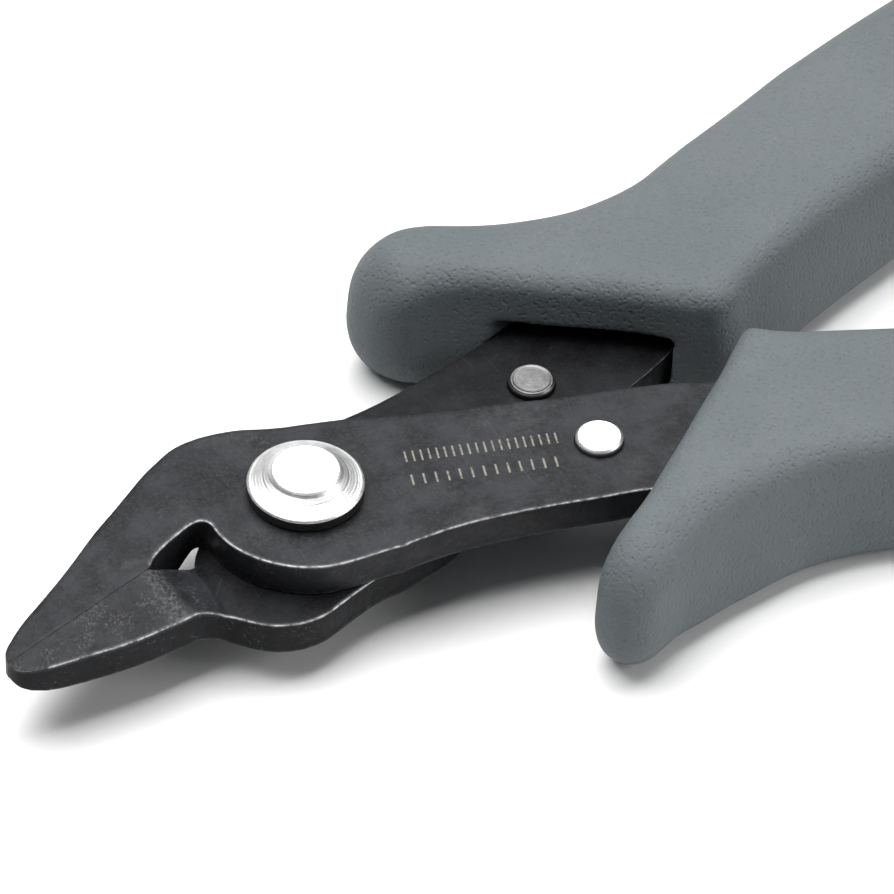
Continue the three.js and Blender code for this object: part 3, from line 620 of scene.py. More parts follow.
UP_DISC = [off_cut(THROAT, GAP), [-11.58, -0.93], [-10.95, -0.5], [-10.27, -0.16], [-9.11, 0.28], [-8.06, 0.64], [-7.48, 0.68], [-7.06, 0.48], [-6.85, 0.04], [-6.84, -0.56], [-6.68, -1.77], [-6.3, -2.85], [-5.7, -3.92], [-4.92, -4.85], [-4, -5.68], [-3, -6.3], [-2, -6.72], [-1, -6.95], [0, -7.06]]
UP_EDGE = [[0, -7.06], [2, -7.16], [3.4, -7.22], [5, -7.22], [7, -7.3], [9, -7.5], [11, -7.84], [13, -8.24], [15, -8.7], [17, -9.2], *mirror(TANG_OUTER)]
UP_BACK = [*mirror(TANG_INNER), [24, -1.05], [20, 0.0], [15, 1.6], [10, 3.1], [6.5, 4.55], [5, 5.0], [3, 5.6], [1.4, 6.04], [0, 6.56], [-1, 7.0], [-2, 7.3], [-3, 7.5], [-4, 7.62], [-5.2, 7.58], [-6.15, 7.38], [-7.54, 6.74], [-9.05, 5.95], [-10.51, 5.05], [-12.0, 4.15], [-13.5, 3.27], [-14.75, 2.44], [-16.15, 1.47], [-17.64, 0.5], [-19.56, -0.66], [-20.91, -1.45], [-21.9, -2.14], [-22.55, -2.68]]
UP_NOSE = [[-22.55, -2.68], [-22.96, -3.07], [-23.22, -3.4], [-23.35, -3.78], off_cut(TIP, GAP)]
# each run's third number is edge wear with painted highlight: high on the edges that face the viewer, low on the far
# ones
upper_runs = (
    (straight(off_cut(TIP, GAP), off_cut(THROAT, GAP), 0.25), (0.01, 0.01, 0.12, 0.0)),
    (smooth(UP_DISC, 0.2), (0.10, 0.05, 1.0, 0.35)),
    (smooth(UP_EDGE, 0.28), (0.095, 0.05, 0.9, 1.0)),
    (smooth(mirror([TANG_OUTER[-1], *TANG_END, TANG_INNER[0]]), 0.6), (0.12, 0.06, 0.2, 0.0)),
    (smooth(UP_BACK, 0.32), (0.12, 0.06, 0.2, 0.3)),
    (smooth(UP_NOSE, 0.12), (0.07, 0.05, 0.3, 0.0)),
)
LO_NOSE = [off_cut(TIP, -GAP), [-23.29, -4.58], [-23.1, -4.96], [-22.62, -5.21], [-22.0, -5.36], [-21.32, -5.5]]
LO_FLANK = [[-21.32, -5.5], [-19.8, -5.6], [-18.2, -5.68], [-16.5, -5.8], [-14.8, -5.83], [-13.2, -5.75], [-11.9, -5.66], [-10.7, -5.55], [-9.7, -5.42], [-8.95, -5.48], [-8.35, -5.82], [-7.83, -6.32], [-7, -7.18], [-6, -7.87], [-4.83, -8.3], [-3.83, -8.42], [-2.67, -8.3], [-1.3, -7.85], [0, -7.4], [1.56, -6.94], [3.56, -6.72], [5.56, -6.35], [7.96, -5.62], [11, -4.2], [14, -2.5], [17, -1.15], [20, -0.12], [24, 0.9], *TANG_INNER[::-1]]
LO_OUTER = [*TANG_OUTER[::-1], [17, 9.15], [15, 8.66], [13, 8.2], [11, 7.8], [9, 7.46], [7, 7.26], [5, 7.18], [3.4, 7.18], [2, 7.14], [0, 7.06]]
LO_DISC = [[0, 7.06], [-1, 6.95], [-2, 6.72], [-3, 6.3], [-4, 5.68], [-4.92, 4.85], [-5.7, 3.92], [-6.3, 2.85], [-6.75, 1.77], [-7.22, 1.0], [-7.85, 0.25], [-8.25, -0.35], [-8.5, -0.82], [-9.0, -1.07], [-9.7, -1.19], [-10.8, -1.28], off_cut(THROAT, -GAP)]
# each run's third number is edge wear with painted highlight: high on the edges that face the viewer, low on the far
# ones
lower_runs = (
    (straight(off_cut(THROAT, -GAP), off_cut(TIP, -GAP), 0.25), (0.01, 0.01, 0.15, 0.0)),
    (smooth(LO_NOSE, 0.12), (0.06, 0.05, 0.4, 0.0)),
    (smooth(LO_FLANK, 0.25), (0.09, 0.05, 1.0, 1.0)),
    (smooth([TANG_INNER[0], *TANG_END[::-1], TANG_OUTER[-1]], 0.6), (0.12, 0.06, 0.2, 0.0)),
    (smooth(LO_OUTER, 0.32), (0.12, 0.05, 0.3, 0.3)),
    (smooth(LO_DISC, 0.22), (0.08, 0.05, 0.3, 0.2)),
)
TOP_U, BOT_U = [(-26, 6.4), (-8.3, 7.75), (120, 7.75)], [(-26, 5.4), (-23.4, 5.15), (-22.9, 4.85), (-22.3, 4.6), (-21.4, 4.3), (-20, 4.15), (-9.4, 4.12), (-7.9, 5.3), (120, 5.3)]
BOT_L = [(-26, 5.6), (-23.4, 5.25), (-22.9, 4.85), (-22.3, 4.52), (-21.4, 4.26), (-20.4, 4.05), (-18.5, 3.9), (-10.6, 3.85), (-8.2, 2.75), (120, 2.75)]


def wedge(x, y):
    """Height of the bevel under the cutting edges; very low away from them."""
    rx, ry = x - THROAT[0], y - THROAT[1]
    s = rx * CUT_DIR[0] + ry * CUT_DIR[1]
    d = np.abs(rx * CUT_N[0] + ry * CUT_N[1])
    ridge = np.interp(s, [0, 9.4, CUT_LEN], [6.85, 6.35, 5.2])
    z = ridge - d * (ridge - 2.6) / 1.75
    return np.where(s < 0, z - 7.0 * -s, z)


top_u = lambda x, y: np.interp(x, *zip(*TOP_U))
bot_u = lambda x, y: np.maximum(np.interp(x, *zip(*BOT_U)), np.minimum(wedge(x, y), top_u(x, y) - 0.16))


def top_l(x, y):
    ground = 7.44 + 0.0085 * (x + 11.98) + 0.273 * (y + 1.42)
    ramp = 7.42 - 0.5606 * (x + 12.2) + 0.0422 * (y + 1.5)
    return np.where(x < -8.0, np.minimum(ground, np.maximum(ramp, 5.2)), 5.2)


bot_l = lambda x, y: np.maximum(np.interp(x, *zip(*BOT_L)), np.minimum(wedge(x, y), top_l(x, y) - 0.16))


def ground_mask(x, y):
    return np.clip((top_l(x, y) - 5.25) / 0.4, 0, 1)


def jaw_rows():
    """Rows of points along the creases, so that the facets meet on clean lines."""
    ys = np.arange(-9, 9, 0.22)
    flat = [np.c_[np.full(len(ys), x), ys] for x in (-8.3,)]
    under = [np.c_[np.full(len(ys), x), ys] for x in (-22.9, -22.3, -21.4, -20.2, -10.6, -9.4, -8.2, -7.9)]
    ridge_lines = []
    s = np.arange(-0.2, CUT_LEN, 0.22)
    for d in (0.55, 1.05, 1.2):
        ridge_lines += [THROAT + CUT_DIR * s[:, None] + CUT_N * d, THROAT + CUT_DIR * s[:, None] - CUT_N * d]
    # lower upper-face: where the ramp leaves the ground face, and where it meets the flat
    y = np.arange(-8.5, 1, 0.22)
    x1 = -12.2 + (7.42 + 0.0422 * (y + 1.5) - 7.44 - 0.0085 * -0.22 - 0.273 * (y + 1.42)) / (0.5606 + 0.0085)
    x2 = -12.2 + (7.42 + 0.0422 * (y + 1.5) - 5.2) / 0.5606
    low_top = [np.c_[x1, y], np.c_[x2, y]]
    return flat, under + ridge_lines, low_top


flat_rows, under_rows, low_rows = jaw_rows()
POST_R, POST_FOOT = 1.58, {"left": 0.35, "right": 2.6}
steel_upper = black_steel("black_steel_upper", marks=True)
steel_lower = black_steel("black_steel_lower")

P, T = chain(*upper_runs)
wear_and_highlight_u = T[:, 2].copy()
rough_u = T[:, 3].copy()
# the shear tear is strongest just behind the pivot disc
rough_u *= 0.35 + 0.65 * np.exp(-(((P[:, 0] - 2.5) / 5.5) ** 2))
wear_and_highlight_u[(P[:, 0] > 30)] *= 0.3
rt_u = T[:, 0].copy()
# a small burr stands out of the lower edge
burr = np.exp(-(((P[:, 0] - 3.4) / 0.35) ** 2)) * (P[:, 1] < -5)
P[:, 1] -= 0.10 * burr
V, F, A = plate(P, rt_u, T[:, 1], wear_and_highlight_u, [(0, 0, 2.5), (19.35, -4.5, POST_R + 0.03)], top_u, bot_u, grid_size, (flat_rows, under_rows), rough_u, None)
add_object("upper_blade_lever_v", V, F, "upper_half", steel_upper, A)

P, T = chain(*lower_runs)
wear_and_highlight_l = T[:, 2].copy()
rough_l = T[:, 3].copy()
rough_l *= 0.25 + 0.75 * np.exp(-(((P[:, 0] - 2.0) / 6.0) ** 2))
wear_and_highlight_l[(P[:, 0] > 12)] *= 0.4
V, F, A = plate(P, T[:, 0], T[:, 1], wear_and_highlight_l, [(0, 0, 2.5), (19.35, 4.5, POST_R + 0.03)], top_l, bot_l, grid_size, (low_rows, under_rows), rough_l, ground_mask)
add_object("lower_blade_lever_v", V, F, "lower_half", steel_lower, A)


# ------------------------------------------------------------- turned parts
def lathe(profile, cx, cy, segments, closed=False, shade=None):
    """profile runs (radius, z). Open profiles start and end on the axis."""
    V, F, S = [], [], []
    idx = []
    for k, (r, z) in enumerate(profile):
        sh = shade[k] if shade is not None else 0.0
        if r < 1e-9:
            idx.append([len(V)])
            V.append((cx, cy, z))
            S.append(sh)
        else:
            idx.append(list(range(len(V), len(V) + segments)))
            for i in range(segments):
                a = 2 * math.pi * i / segments
                V.append((cx + r * math.cos(a), cy + r * math.sin(a), z))
                S.append(sh)
    pairs = list(zip(idx[:-1], idx[1:]))
    if closed:
        pairs.append((idx[-1], idx[0]))
    for a, b in pairs:
        for i in range(segments):
            j = (i + 1) % segments
            if len(a) == 1 and len(b) == 1:
                continue
            if len(a) == 1:
                F.append((a[0], b[j], b[i]))
            elif len(b) == 1:
                F.append((a[i], a[j], b[0]))
            else:
                F.append((a[i], a[j], b[j], b[i]))
    return np.array(V), F, {"shade": S}


def rounded(corners, step=0.06):
    """A polyline of (r, z, fillet) corners with round fillets."""
    out = []
    n = len(corners)
    for i, (x, z, f) in enumerate(corners):
        p = np.array([x, z])
        if f <= 0 or i in (0, n - 1):
            out.append(p)
            continue
        a, b = np.array(corners[i - 1][:2]), np.array(corners[i + 1][:2])
        u, v = (a - p) / np.linalg.norm(a - p), (b - p) / np.linalg.norm(b - p)
        f = min(f, 0.45 * np.linalg.norm(a - p), 0.45 * np.linalg.norm(b - p))
        m = max(3, int(f / step) + 2)
        for k in range(m + 1):
            t = k / m
            out.append((1 - t) ** 2 * (p + u * f) + 2 * t * (1 - t) * p + t * t * (p + v * f))
    return out


def refine(profile, step):
    out = [np.array(profile[0])]
    for a, b in zip(profile[:-1], profile[1:]):
        a, b = np.array(a), np.array(b)
        m = max(1, int(np.linalg.norm(b - a) / step))
        for k in range(1, m + 1):
            out.append(a + (b - a) * k / m)
    return out


HT = 7.75 + 0.03
corner = [
    (0, 0.45, 0), (2.1, 0.45, 0.3), (2.72, 0.72, 0.25), (2.9, 1.15, 0.2), (2.9, 2.25, 0.05), (2.45, 2.25, 0.04),
    (2.45, HT, 0.0), (3.72, HT, 0.05), (3.85, HT + 0.12, 0.05), (3.85, 8.62, 0.06), (3.74, 8.75, 0.05),
    (3.42, 8.86, 0.12), (3.05, 9.06, 0.2), (2.62, 9.32, 0.2), (2.42, 9.47, 0.1), (2.3, 9.64, 0.06), (2.3, 9.69, 0.05), (2.18, 9.8, 0.06), (0, 9.8, 0),
]
prof = refine(rounded(corner), 0.045)
prof2, shade = [], []
rng = np.random.default_rng(7)
grooves = [(2.62, 0.018), (2.84, 0.022), (3.02, 0.016), (3.2, 0.024), (3.38, 0.016), (3.56, 0.02), (1.96, 0.02), (1.1, 0.006), (0.5, 0.006)]
for r, z in prof:
    if z > 8.7:
        z -= sum(d * math.exp(-(((r - g) / 0.03) ** 2)) for g, d in grooves)
    prof2.append((r, z))
    shade.append(0.93 if (z < 8.58 and r > 3.0 and z > 5) else 0.0)
V, F, A = lathe(prof2, 0, 0, 180, shade=shade)
add_object("pivot_rivet_v", V, F, "lower_half", turned_steel("turned_rivet", SX, SY, 0.10), A)

corner = [(2.5, 2.28, 0.03), (5.0, 2.28, 0.05), (5.2, 2.4, 0.06), (5.2, 2.72, 0.04), (2.5, 2.72, 0.03)]
ring = refine(rounded([corner[-1], *corner, corner[0]])[1:-1], 0.12)
V, F, A = lathe(ring, 0, 0, 120, closed=True, shade=[0.0] * len(ring))
add_object("pivot_tail_washer_v", V, F, "lower_half", turned_steel("turned_washer", SX, SY, 0.14, 0.3), A)

for label, y, plate_top, body, dull in (("left", 4.5, 5.2, "lower_half", 1.0), ("right", -4.5, 7.75, "upper_half", 0.0)):
    top, foot, pr = plate_top + 0.5, POST_FOOT[label], POST_R
    lo, hi = foot + 0.15, foot + 0.5
    corner = [
        (0, foot, 0), (pr - 0.2, foot, 0.08), (pr - 0.05, foot + 0.1, 0.02), (pr - 0.39, lo - 0.02, 0.01), (pr - 0.39, hi + 0.02, 0.01), (pr, hi + 0.05, 0.03),
        (pr, top - 0.18, 0.06), (pr - 0.16, top - 0.01, 0.05), (pr - 0.24, top, 0.03), (pr - 0.38, top - 0.045, 0.06), (0.6, top - 0.05, 0.2), (0, top - 0.045, 0),
    ]
    prof = refine(rounded(corner), 0.05)
    V, F, A = lathe(prof, 19.35, y, 96, shade=[0.0 if (z > plate_top + 0.2 or z < hi + 0.1) else 0.75 for r, z in prof])
    add_object(f"spring_post_{label}_v", V, F, body, turned_steel(f"turned_post_{label}", SX + 19.35, SY + y, 0.11, dull), A)

    # E-clip, flat and sharp-cornered, in the post's groove
    r0, r1, half = pr - 0.37, 2.35, 0.62
    a0 = np.linspace(half, 2 * math.pi - half, 70)
    ang = 0.4 if y > 0 else -0.4
    outer = np.c_[r1 * np.cos(a0), r1 * np.sin(a0)]
    inner = np.c_[r0 * np.cos(a0[::-1]), r0 * np.sin(a0[::-1])]
    c = np.vstack([outer, straight(outer[-1], inner[0], 0.2)[1:-1], inner, straight(inner[-1], outer[0], 0.2)[1:-1]])
    rot = np.array([[math.cos(ang), math.sin(ang)], [-math.sin(ang), math.cos(ang)]])
    c = c @ rot + [19.35, y]
    m = len(c)
    V, F, A = plate(c, np.full(m, 0.05), np.full(m, 0.04), np.full(m, 0.6), [], lambda x, y_, h=hi: np.full(np.shape(x), h), lambda x, y_, h=lo: np.full(np.shape(x), h), lambda x: 0.4, ([], []), None, None, walls=3)
    add_object(f"post_clip_{label}_v", V, F, body, wire_steel(f"clip_steel_{label}"), A)


# ------------------------------------------------------------ return spring
def spring_path():
    PX, PY, ER = 19.35, 4.5, 2.05
    CR, CT, CB = 3.7, 1.83, 0.62

    def eye(side):
        a = np.radians(-95 - 285 * (1 - np.arange(16) / 15))
        return [[PX + ER * math.cos(t), side * PY + side * ER * math.sin(t), 1.45 if side > 0 else 4.0] for t in a]

    left, right = eye(1), eye(-1)[::-1]
    start = 1.62
    end = start + 2 * math.pi + (2 * math.pi - 2 * start)
    pts = list(left)
    cs = [CR * math.cos(start), CR * math.sin(start), CT]
    lerp = lambda a, b, t: [a[k] + (b[k] - a[k]) * t for k in range(3)]
    pts += [lerp(left[-1], cs, k / 5) for k in range(1, 5)]
    for i in range(41):
        a = start + (end - start) * i / 40
        pts.append([CR * math.cos(a), CR * math.sin(a), CT + (CB - CT) * i / 40])
    ce = pts[-1]
    for t, z in ((0.2, 0.88), (0.4, 1.2), (0.6, 1.58), (0.76, 2.08), (0.84, 2.8), (0.92, 3.6)):
        pts.append([*lerp(ce, right[0], t)[:2], z])
    return pts + right


def tube(path, r, sides=18):
    """A closed round tube with domed ends."""
    P = np.array(path, float)
    T = np.gradient(P, axis=0)
    T /= np.linalg.norm(T, axis=1)[:, None]
    up = np.array([0, 0, 1.0])
    V, F = [], []
    n = len(P)
    u = np.cross(up, T[0])
    u /= np.linalg.norm(u)
    rings = []
    a = np.linspace(0, 2 * math.pi, sides, endpoint=False)

    def ring(c, u, v, rr):
        base = len(V)
        for t in a:
            V.append(c + u * rr * math.cos(t) + v * rr * math.sin(t))
        rings.append(base)

    V.append(P[0])
    frames = []
    for k in range(n):
        u = u - T[k] * np.dot(u, T[k])
        u /= np.linalg.norm(u)
        frames.append((u, np.cross(T[k], u)))
    for k in range(1, 5):
        t = k / 5 * math.pi / 2
        ring(P[0] + T[0] * r * 0.5 * (1 - math.cos(t)), *frames[0], r * math.sin(t))
    for k in range(1, n - 1):
        ring(P[k], *frames[k], r)
    for k in range(4, 0, -1):
        t = k / 5 * math.pi / 2
        ring(P[-1] - T[-1] * r * 0.5 * (1 - math.cos(t)), *frames[-1], r * math.sin(t))
    V.append(P[-1])
    last = len(V) - 1
    for i in range(sides):
        j = (i + 1) % sides
        F.append((0, rings[0] + j, rings[0] + i))
        F.append((last, rings[-1] + i, rings[-1] + j))
        for b0, b1 in zip(rings[:-1], rings[1:]):
            F.append((b0 + i, b0 + j, b1 + j, b1 + i))
    return np.array(V), F


path = smooth(spring_path(), 0.22)
V, F = tube(path, 0.4)
spring = add_object("return_spring_v", V, F, None, wire_steel("spring_wire"))
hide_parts("return_spring")


# -------------------------------------------------------------------- grips
LEFT_FRONT = [
    [31.7, 0.95, 1.4, 31.95, 2.78], [30.4, 1.35, 1.4, 31.14, 3.3], [28.96, 2.28, 1.4, 30.15, 3.95], [26.86, 3.99, 1.4, 28.05, 5.66], [24.67, 5.53, 1.4, 25.86, 7.2], [22.42, 6.99, 1.4, 23.61, 8.66], [20.2, 8.6, 1.4, 21.42, 10.2],
    [17.85, 10.0, 1.5, 19.24, 11.76], [16.0, 10.9, 1.8, 17.66, 12.95], [14.4, 11.35, 2.2, 16.4, 13.78], [13.2, 12.0, 3.0, 15.5, 14.2], [12.2, 13.1, 4.0, 15.1, 14.6], [11.65, 14.4, 4.6, 14.95, 15.0],
    [11.5, 15.7, 4.6, 14.95, 15.2], [11.9, 16.9, 4.4, 15.1, 15.5], [12.8, 17.8, 3.8, 15.4, 15.8], [14.1, 18.3, 3.2, 15.9, 16.0], [15.6, 18.4, 2.6, 16.5, 16.1], [16.9, 18.05, 2.2, 17.1, 16.0],
    [18.45, 17.4, 1.9, 18.1, 15.6], [20.25, 16.45, 1.8, 19.6, 14.8], [22.1, 15.6, 1.7, 21.5, 13.95], [24.0, 15.0, 1.6, 1.8], [26.0, 14.55, 1.6, 1.8], [27.7, 14.35, 1.6, 1.8], [29.6, 14.38, 1.6, 1.8], [31.15, 14.55, 1.6, 1.8], [32.9, 14.95, 1.6, 1.8], [35.4, 15.95, 1.6, 1.9], [38.5, 17.2, 1.6, 2.1],
]
RIGHT_FRONT = [
    [32.0, 1.15, 1.4, 32.4, 2.75], [30.6, 2.2, 1.4, 31.5, 3.6], [28.4, 4.1, 1.4, 29.4, 5.35], [25.7, 6.15, 1.4, 26.7, 7.4], [22.8, 8.47, 1.4, 23.8, 9.7], [20.1, 10.5, 1.5, 21.2, 11.7],
    [18.0, 12.1, 1.8, 19.4, 12.7], [16.3, 13.1, 2.3, 18.1, 13.5], [14.3, 14.3, 3.1, 17.2, 14.2], [13.1, 15.35, 3.8, 16.8, 14.6], [12.65, 16.5, 4.2, 16.6, 14.9], [12.9, 17.8, 4.3, 16.6, 15.1],
    [13.8, 18.7, 4.2, 16.8, 15.2], [15.05, 19.0, 3.9, 17.1, 15.1], [16.9, 18.3, 3.1, 17.9, 14.6], [18.8, 17.45, 2.4, 19.2, 13.8], [20.6, 17.0, 2.0, 20.7, 13.2], [22.8, 16.46, 1.7, 22.6, 12.8],
    [24.85, 16.17, 1.5, 24.7, 12.75], [26.93, 15.88, 1.5, 26.8, 12.7], [28.97, 15.67, 1.5, 28.9, 12.8], [30.75, 15.77, 1.5, 30.9, 13.0], [32.5, 15.95, 1.5, 32.9, 13.4], [35.35, 16.7, 1.5, 36.0, 14.0], [38.5, 17.6, 1.6, 39.3, 14.9],
]
HANDLE = [
    [43, 19.1, 1.8, 2.5], [50, 21.65, 2.2, 2.7],
    [58, 24.15, 2.6, 3.0], [66, 26.1, 2.8, 3.2], [74, 27.5, 3.0, 3.3], [82, 28.35, 3.0, 3.3], [90, 28.6, 3.0, 3.3], [97, 28.1, 3.0, 3.3],
    # rounded end
    [102, 26.6, 3.0, 3.3], [104.6, 24.0, 3.0, 3.3], [105.2, 21.3, 3.0, 3.3], [104.3, 18.6, 3.0, 3.3], [101.6, 16.5, 3.0, 3.3],
    # inner side, back to the corner
    [97, 15.6, 3.0, 3.3], [90, 15.4, 3.0, 3.3], [82, 14.9, 3.0, 3.3], [74, 13.8, 2.9, 3.2], [66, 12.15, 2.7, 3.0], [58, 9.95, 2.4, 2.8], [50, 7.4, 2.0, 2.9], [43.5, 5.3, 1.7, 2.8], [38.5, 3.3, 1.5, 38.55, 6.0], [35.0, 1.8, 1.4, 34.7, 4.25], [33.2, 1.05, 1.4, 33.0, 3.15],
]
WAIST_Z = 2.6        # height of the widest line


def grip_rings(side):
    plan = [*(LEFT_FRONT if side > 0 else RIGHT_FRONT), *HANDLE][::-1]
    n = len(plan)
    base = np.array([p[:2] for p in plan], float)
    a, b = np.roll(base, 1, 0), np.roll(base, -1, 0)
    d = b - a
    nrm = np.stack([-d[:, 1], d[:, 0]], 1) / np.linalg.norm(d, axis=1)[:, None]
    crest = np.array([p[3:5] if len(p) > 4 else (base[i] + nrm[i] * p[3]).tolist() for i, p in enumerate(plan)])
    # the crest of the front and inner faces stands a little further in than on the plain solid
    crisp = np.array([(p in LEFT_FRONT[:10] and side > 0) or p in HANDLE[-5:] for p in plan])
    away = crest - base
    crest = crest + np.where(crisp[:, None], 0.3 * away / np.linalg.norm(away, axis=1)[:, None], 0.0)
    rad = np.array([p[2] for p in plan], float)
    t = np.linspace(0, n, n * 12, endpoint=False)
    out = catmull(np.c_[base, rad], t, closed=True)
    cr = catmull(crest, t, closed=True)
    # even spacing along the outline
    seg = np.linalg.norm(np.diff(np.vstack([out[:, :2], out[:1, :2]]), axis=0), axis=1)
    arc = np.r_[0, np.cumsum(seg)]
    m = int(arc[-1] / 0.4)
    s = np.linspace(0, arc[-1], m, endpoint=False)
    wrap = lambda v: np.interp(s, arc, np.r_[v, v[:1]])
    O = np.stack([wrap(out[:, 0]), wrap(out[:, 1])], 1)
    C = np.stack([wrap(cr[:, 0]), wrap(cr[:, 1])], 1)
    return O, C, wrap(out[:, 2])


def grip_mesh(side):
    O, C, Rt = grip_rings(side)
    H = GRIP_H
    D = O - C
    W = np.linalg.norm(D, axis=1)
    U = D / W[:, None]
    turn = np.minimum(0.9 * W, 1.15 * Rt)
    nose = np.clip((Rt - 1.8) / 2, 0, 1)
    waist = WAIST_Z + 1.7 * nose
    foot = np.minimum(0.8 * W, 2.2 + 1.6 * nose)
    levels = []
    for k in range(9):
        a = math.pi / 2 * k / 8
        levels.append((W - foot * (1 - math.sin(a)), waist * (1 - math.cos(a))))
    for f in (0.2, 0.4, 0.6, 0.8):
        z = waist + (H - Rt - waist) * f
        levels.append((turn + (W - turn) * (H - z) / (H - waist), z))
    for k in range(10, -1, -1):
        a = math.pi / 2 * k / 10
        z = H - Rt * (1 - math.cos(a))
        levels.append((turn * math.sin(a) + (W - turn) * (H - z) / (H - waist), z))
    if side < 0:
        levels = [(d, H - z) for d, z in levels[::-1]]
    V, F, rings = [], [], []
    n = len(O)
    for d, z in levels:
        q = C + U * d[:, None]
        rings.append(list(range(len(V), len(V) + n)))
        V.extend(np.c_[q, z].tolist())
    for lo, hi in zip(rings[:-1], rings[1:]):
        for i in range(n):
            j = (i + 1) % n
            F.append((lo[i], lo[j], hi[j], hi[i]))
    F.append(tuple(rings[0][::-1]))
    F.append(tuple(rings[-1]))
    return V, F


def offset_run(P, d):
    P = np.array(P, float)
    t = np.gradient(P, axis=0)
    t /= np.linalg.norm(t, axis=1)[:, None]
    return P + np.stack([t[:, 1], -t[:, 0]], 1) * d


def prism_object(name, plan, z0, z1):
    plan = np.array(plan, float)
    n = len(plan)
    V = np.vstack([np.c_[plan, np.full(n, z0)], np.c_[plan, np.full(n, z1)]])
    F = [(i, (i + 1) % n, n + (i + 1) % n, n + i) for i in range(n)] + [tuple(range(n))[::-1], tuple(range(n, 2 * n))]
    return add_object(name, V, F, None, steel_lower, smooth_shade=False)


def fix_normals(ob):
    bm = bmesh.new()
    bm.from_mesh(ob.data)
    bmesh.ops.recalc_face_normals(bm, faces=bm.faces)
    bm.to_mesh(ob.data)
    bm.free()


def apply_modifiers(ob):
    bpy.context.view_layer.update()
    dg = bpy.context.evaluated_depsgraph_get()
    me = bpy.data.meshes.new_from_object(ob.evaluated_get(dg))
    ob.modifiers.clear()
    old = ob.data
    ob.data = me
    me.name = ob.name
    bpy.data.meshes.remove(old)


def make_grip(side, body):
    label = "left" if side > 0 else "right"
    V, F = grip_mesh(side)
    ob = add_object(f"grip_{label}_v", V, F, None, plastic)
    fix_normals(ob)
    outer = offset_run(smooth([[9, 6.2], [15, 8.66], [17, 9.15], *TANG_OUTER], 1.0), -0.2)
    inner = offset_run(smooth([*TANG_INNER, [24, 1.05], [20, 0.0]], 1.0), -0.2)
    end = offset_run(smooth([TANG_OUTER[-1], *TANG_END, TANG_INNER[0]], 1.0), -0.2)
    pocket_plan, _ = chain((outer, 0), (end, 0), (inner, 0), ([[16, 0]], 0))
    mouth_plan = [[14, 6], [19.2, 9.95], [24.5, 11.4], [31.5, 10.2], [33.3, 5.7], [29.0, 2.55], [24, -1.5]]
    cutters = [prism_object("cut_a", pocket_plan[::-1], 2.75 - 0.2, 5.2 + 0.2), prism_object("cut_b", mouth_plan[::-1], 2.2, 6.55)]
    for c in cutters:
        fix_normals(c)
        m = ob.modifiers.new("cut", "BOOLEAN")
        m.operation, m.object, m.solver = "DIFFERENCE", c, "EXACT"
    apply_modifiers(ob)
    for c in cutters:
        bpy.data.objects.remove(c)
    m = ob.modifiers.new("skin", "REMESH")
    m.mode, m.voxel_size, m.adaptivity, m.use_smooth_shade = "VOXEL", VOXEL * 0.001, 0.0, True
    apply_modifiers(ob)
    # soften the cut edges, as a moulding has them
    bm = bmesh.new()
    bm.from_mesh(ob.data)
    for _ in range(3):
        bmesh.ops.smooth_vert(bm, verts=bm.verts, factor=0.5, use_axis_x=True, use_axis_y=True, use_axis_z=True)
    # gentle hand-made unevenness of the moulding
    for v in bm.verts:
        p = v.co * 1000
        v.co += v.normal * 0.00003 * noise.noise(Vector((p.x * 0.22, p.y * 0.22, p.z * 0.22)))
    bm.to_mesh(ob.data)
    bm.free()
    me = ob.data
    if side < 0:
        me.transform(Matrix.Translation((0, 0, GRIP_H * 0.001)) @ Matrix.Rotation(math.pi, 4, "X"))
        # turning the part over keeps its y about the tool's axis
        me.transform(Matrix.Translation((0, 2 * SY * 0.001, 0)))
    me.polygons.foreach_set("use_smooth", np.ones(len(me.polygons), bool))
    a = me.attributes.new("wear", "FLOAT", "POINT")
    a.data.foreach_set("value", np.zeros(len(me.vertices), np.float32))
    if not me.materials:
        me.materials.append(plastic)
    finish_piece(ob, body, f"grip_{label}")
    return ob


VOXEL = 0.24
plastic = grip_plastic("grip_plastic")
make_grip(1, "lower_half")
make_grip(-1, "upper_half")

# ---------------------------------------------------------------- the spring
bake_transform(spring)

# --------------------------------------------------------------------- stage
def floor_material():
    n = Nodes("floor")
    c = n.mix(n.ramp(n.noise(0.02, 3, 0.5), 0.3, 0.7), (0.80, 0.80, 0.803), (0.815, 0.815, 0.817))
    n.link(c, n.bsdf.inputs["Base Color"])
    n.set(Roughness=0.9, Specular_IOR_Level=0.1)
    return n.mat


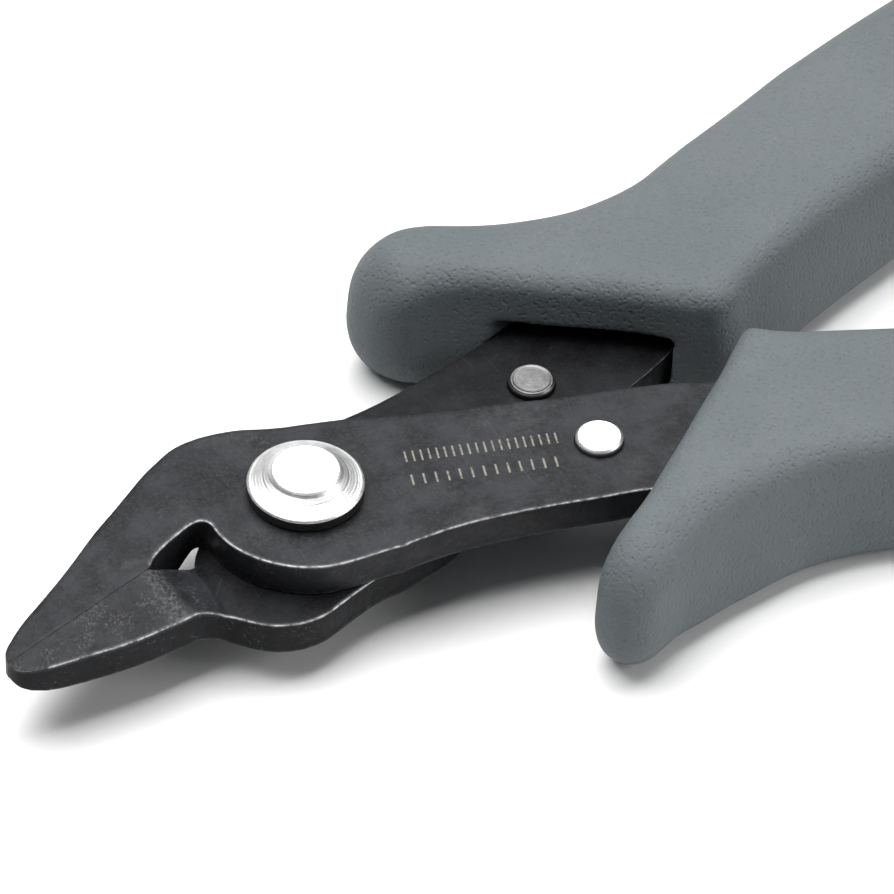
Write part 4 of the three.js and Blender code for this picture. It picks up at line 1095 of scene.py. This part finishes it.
size = 6.0
me = bpy.data.meshes.new("floor")
me.from_pydata([(-size, -size, -2e-5), (size, -size, -2e-5), (size, size, -2e-5), (-size, size, -2e-5)], [], [(0, 1, 2, 3)])
floor = bpy.data.objects.new("floor", me)
me.materials.append(floor_material())
bpy.context.scene.collection.objects.link(floor)

world = bpy.data.worlds.new("studio")
bpy.context.scene.world = world
world.use_nodes = True
wt = world.node_tree
bg = wt.nodes.get("Background") or wt.nodes.new("ShaderNodeBackground")
wtc = wt.nodes.new("ShaderNodeTexCoord")
wsep = wt.nodes.new("ShaderNodeSeparateXYZ")
wmr = wt.nodes.new("ShaderNodeMapRange")
wmr.inputs["From Min"].default_value, wmr.inputs["From Max"].default_value = -0.05, 0.75
wmr.inputs["To Min"].default_value, wmr.inputs["To Max"].default_value = 0.085, 0.14
wt.links.new(wtc.outputs["Generated"], wsep.inputs[0])
wt.links.new(wsep.outputs[2], wmr.inputs["Value"])
wt.links.new(wmr.outputs[0], bg.inputs["Strength"])
bg.inputs["Color"].default_value = (0.96, 0.98, 1.0, 1)


def area(name, at_view, target_view, size, watts, color=(1, 1, 1)):
    """A soft box; places are in millimetres round the pivot, x to the picture's right, y away from it."""
    l = bpy.data.lights.new(name, "AREA")
    l.shape, l.size, l.size_y, l.energy, l.color = "RECTANGLE", size[0] * 0.001, size[1] * 0.001, watts, color
    o = bpy.data.objects.new(name, l)
    bpy.context.scene.collection.objects.link(o)
    a, b = Vector(to_row(view_to_tool(np.array(at_view, float)))[0]), Vector(to_row(view_to_tool(np.array(target_view, float)))[0])
    o.location = a
    o.rotation_mode = "QUATERNION"
    o.rotation_quaternion = (b - a).to_track_quat("-Z", "Y")
    return o


area("overhead", (-80, 130, 620), (10, 0, 0), (780, 560), 9.2, (1.0, 0.997, 0.99))
area("right_panel", (560, -80, 240), (30, 0, 0), (300, 300), 1.8, (1.0, 0.997, 0.99))
area("back_panel", (60, 780, 690), (0, 0, 0), (520, 420), 1.1, (0.98, 0.99, 1.0))

bpy.context.scene.view_settings.view_transform = "Standard"
bpy.context.scene.view_settings.look = "None"
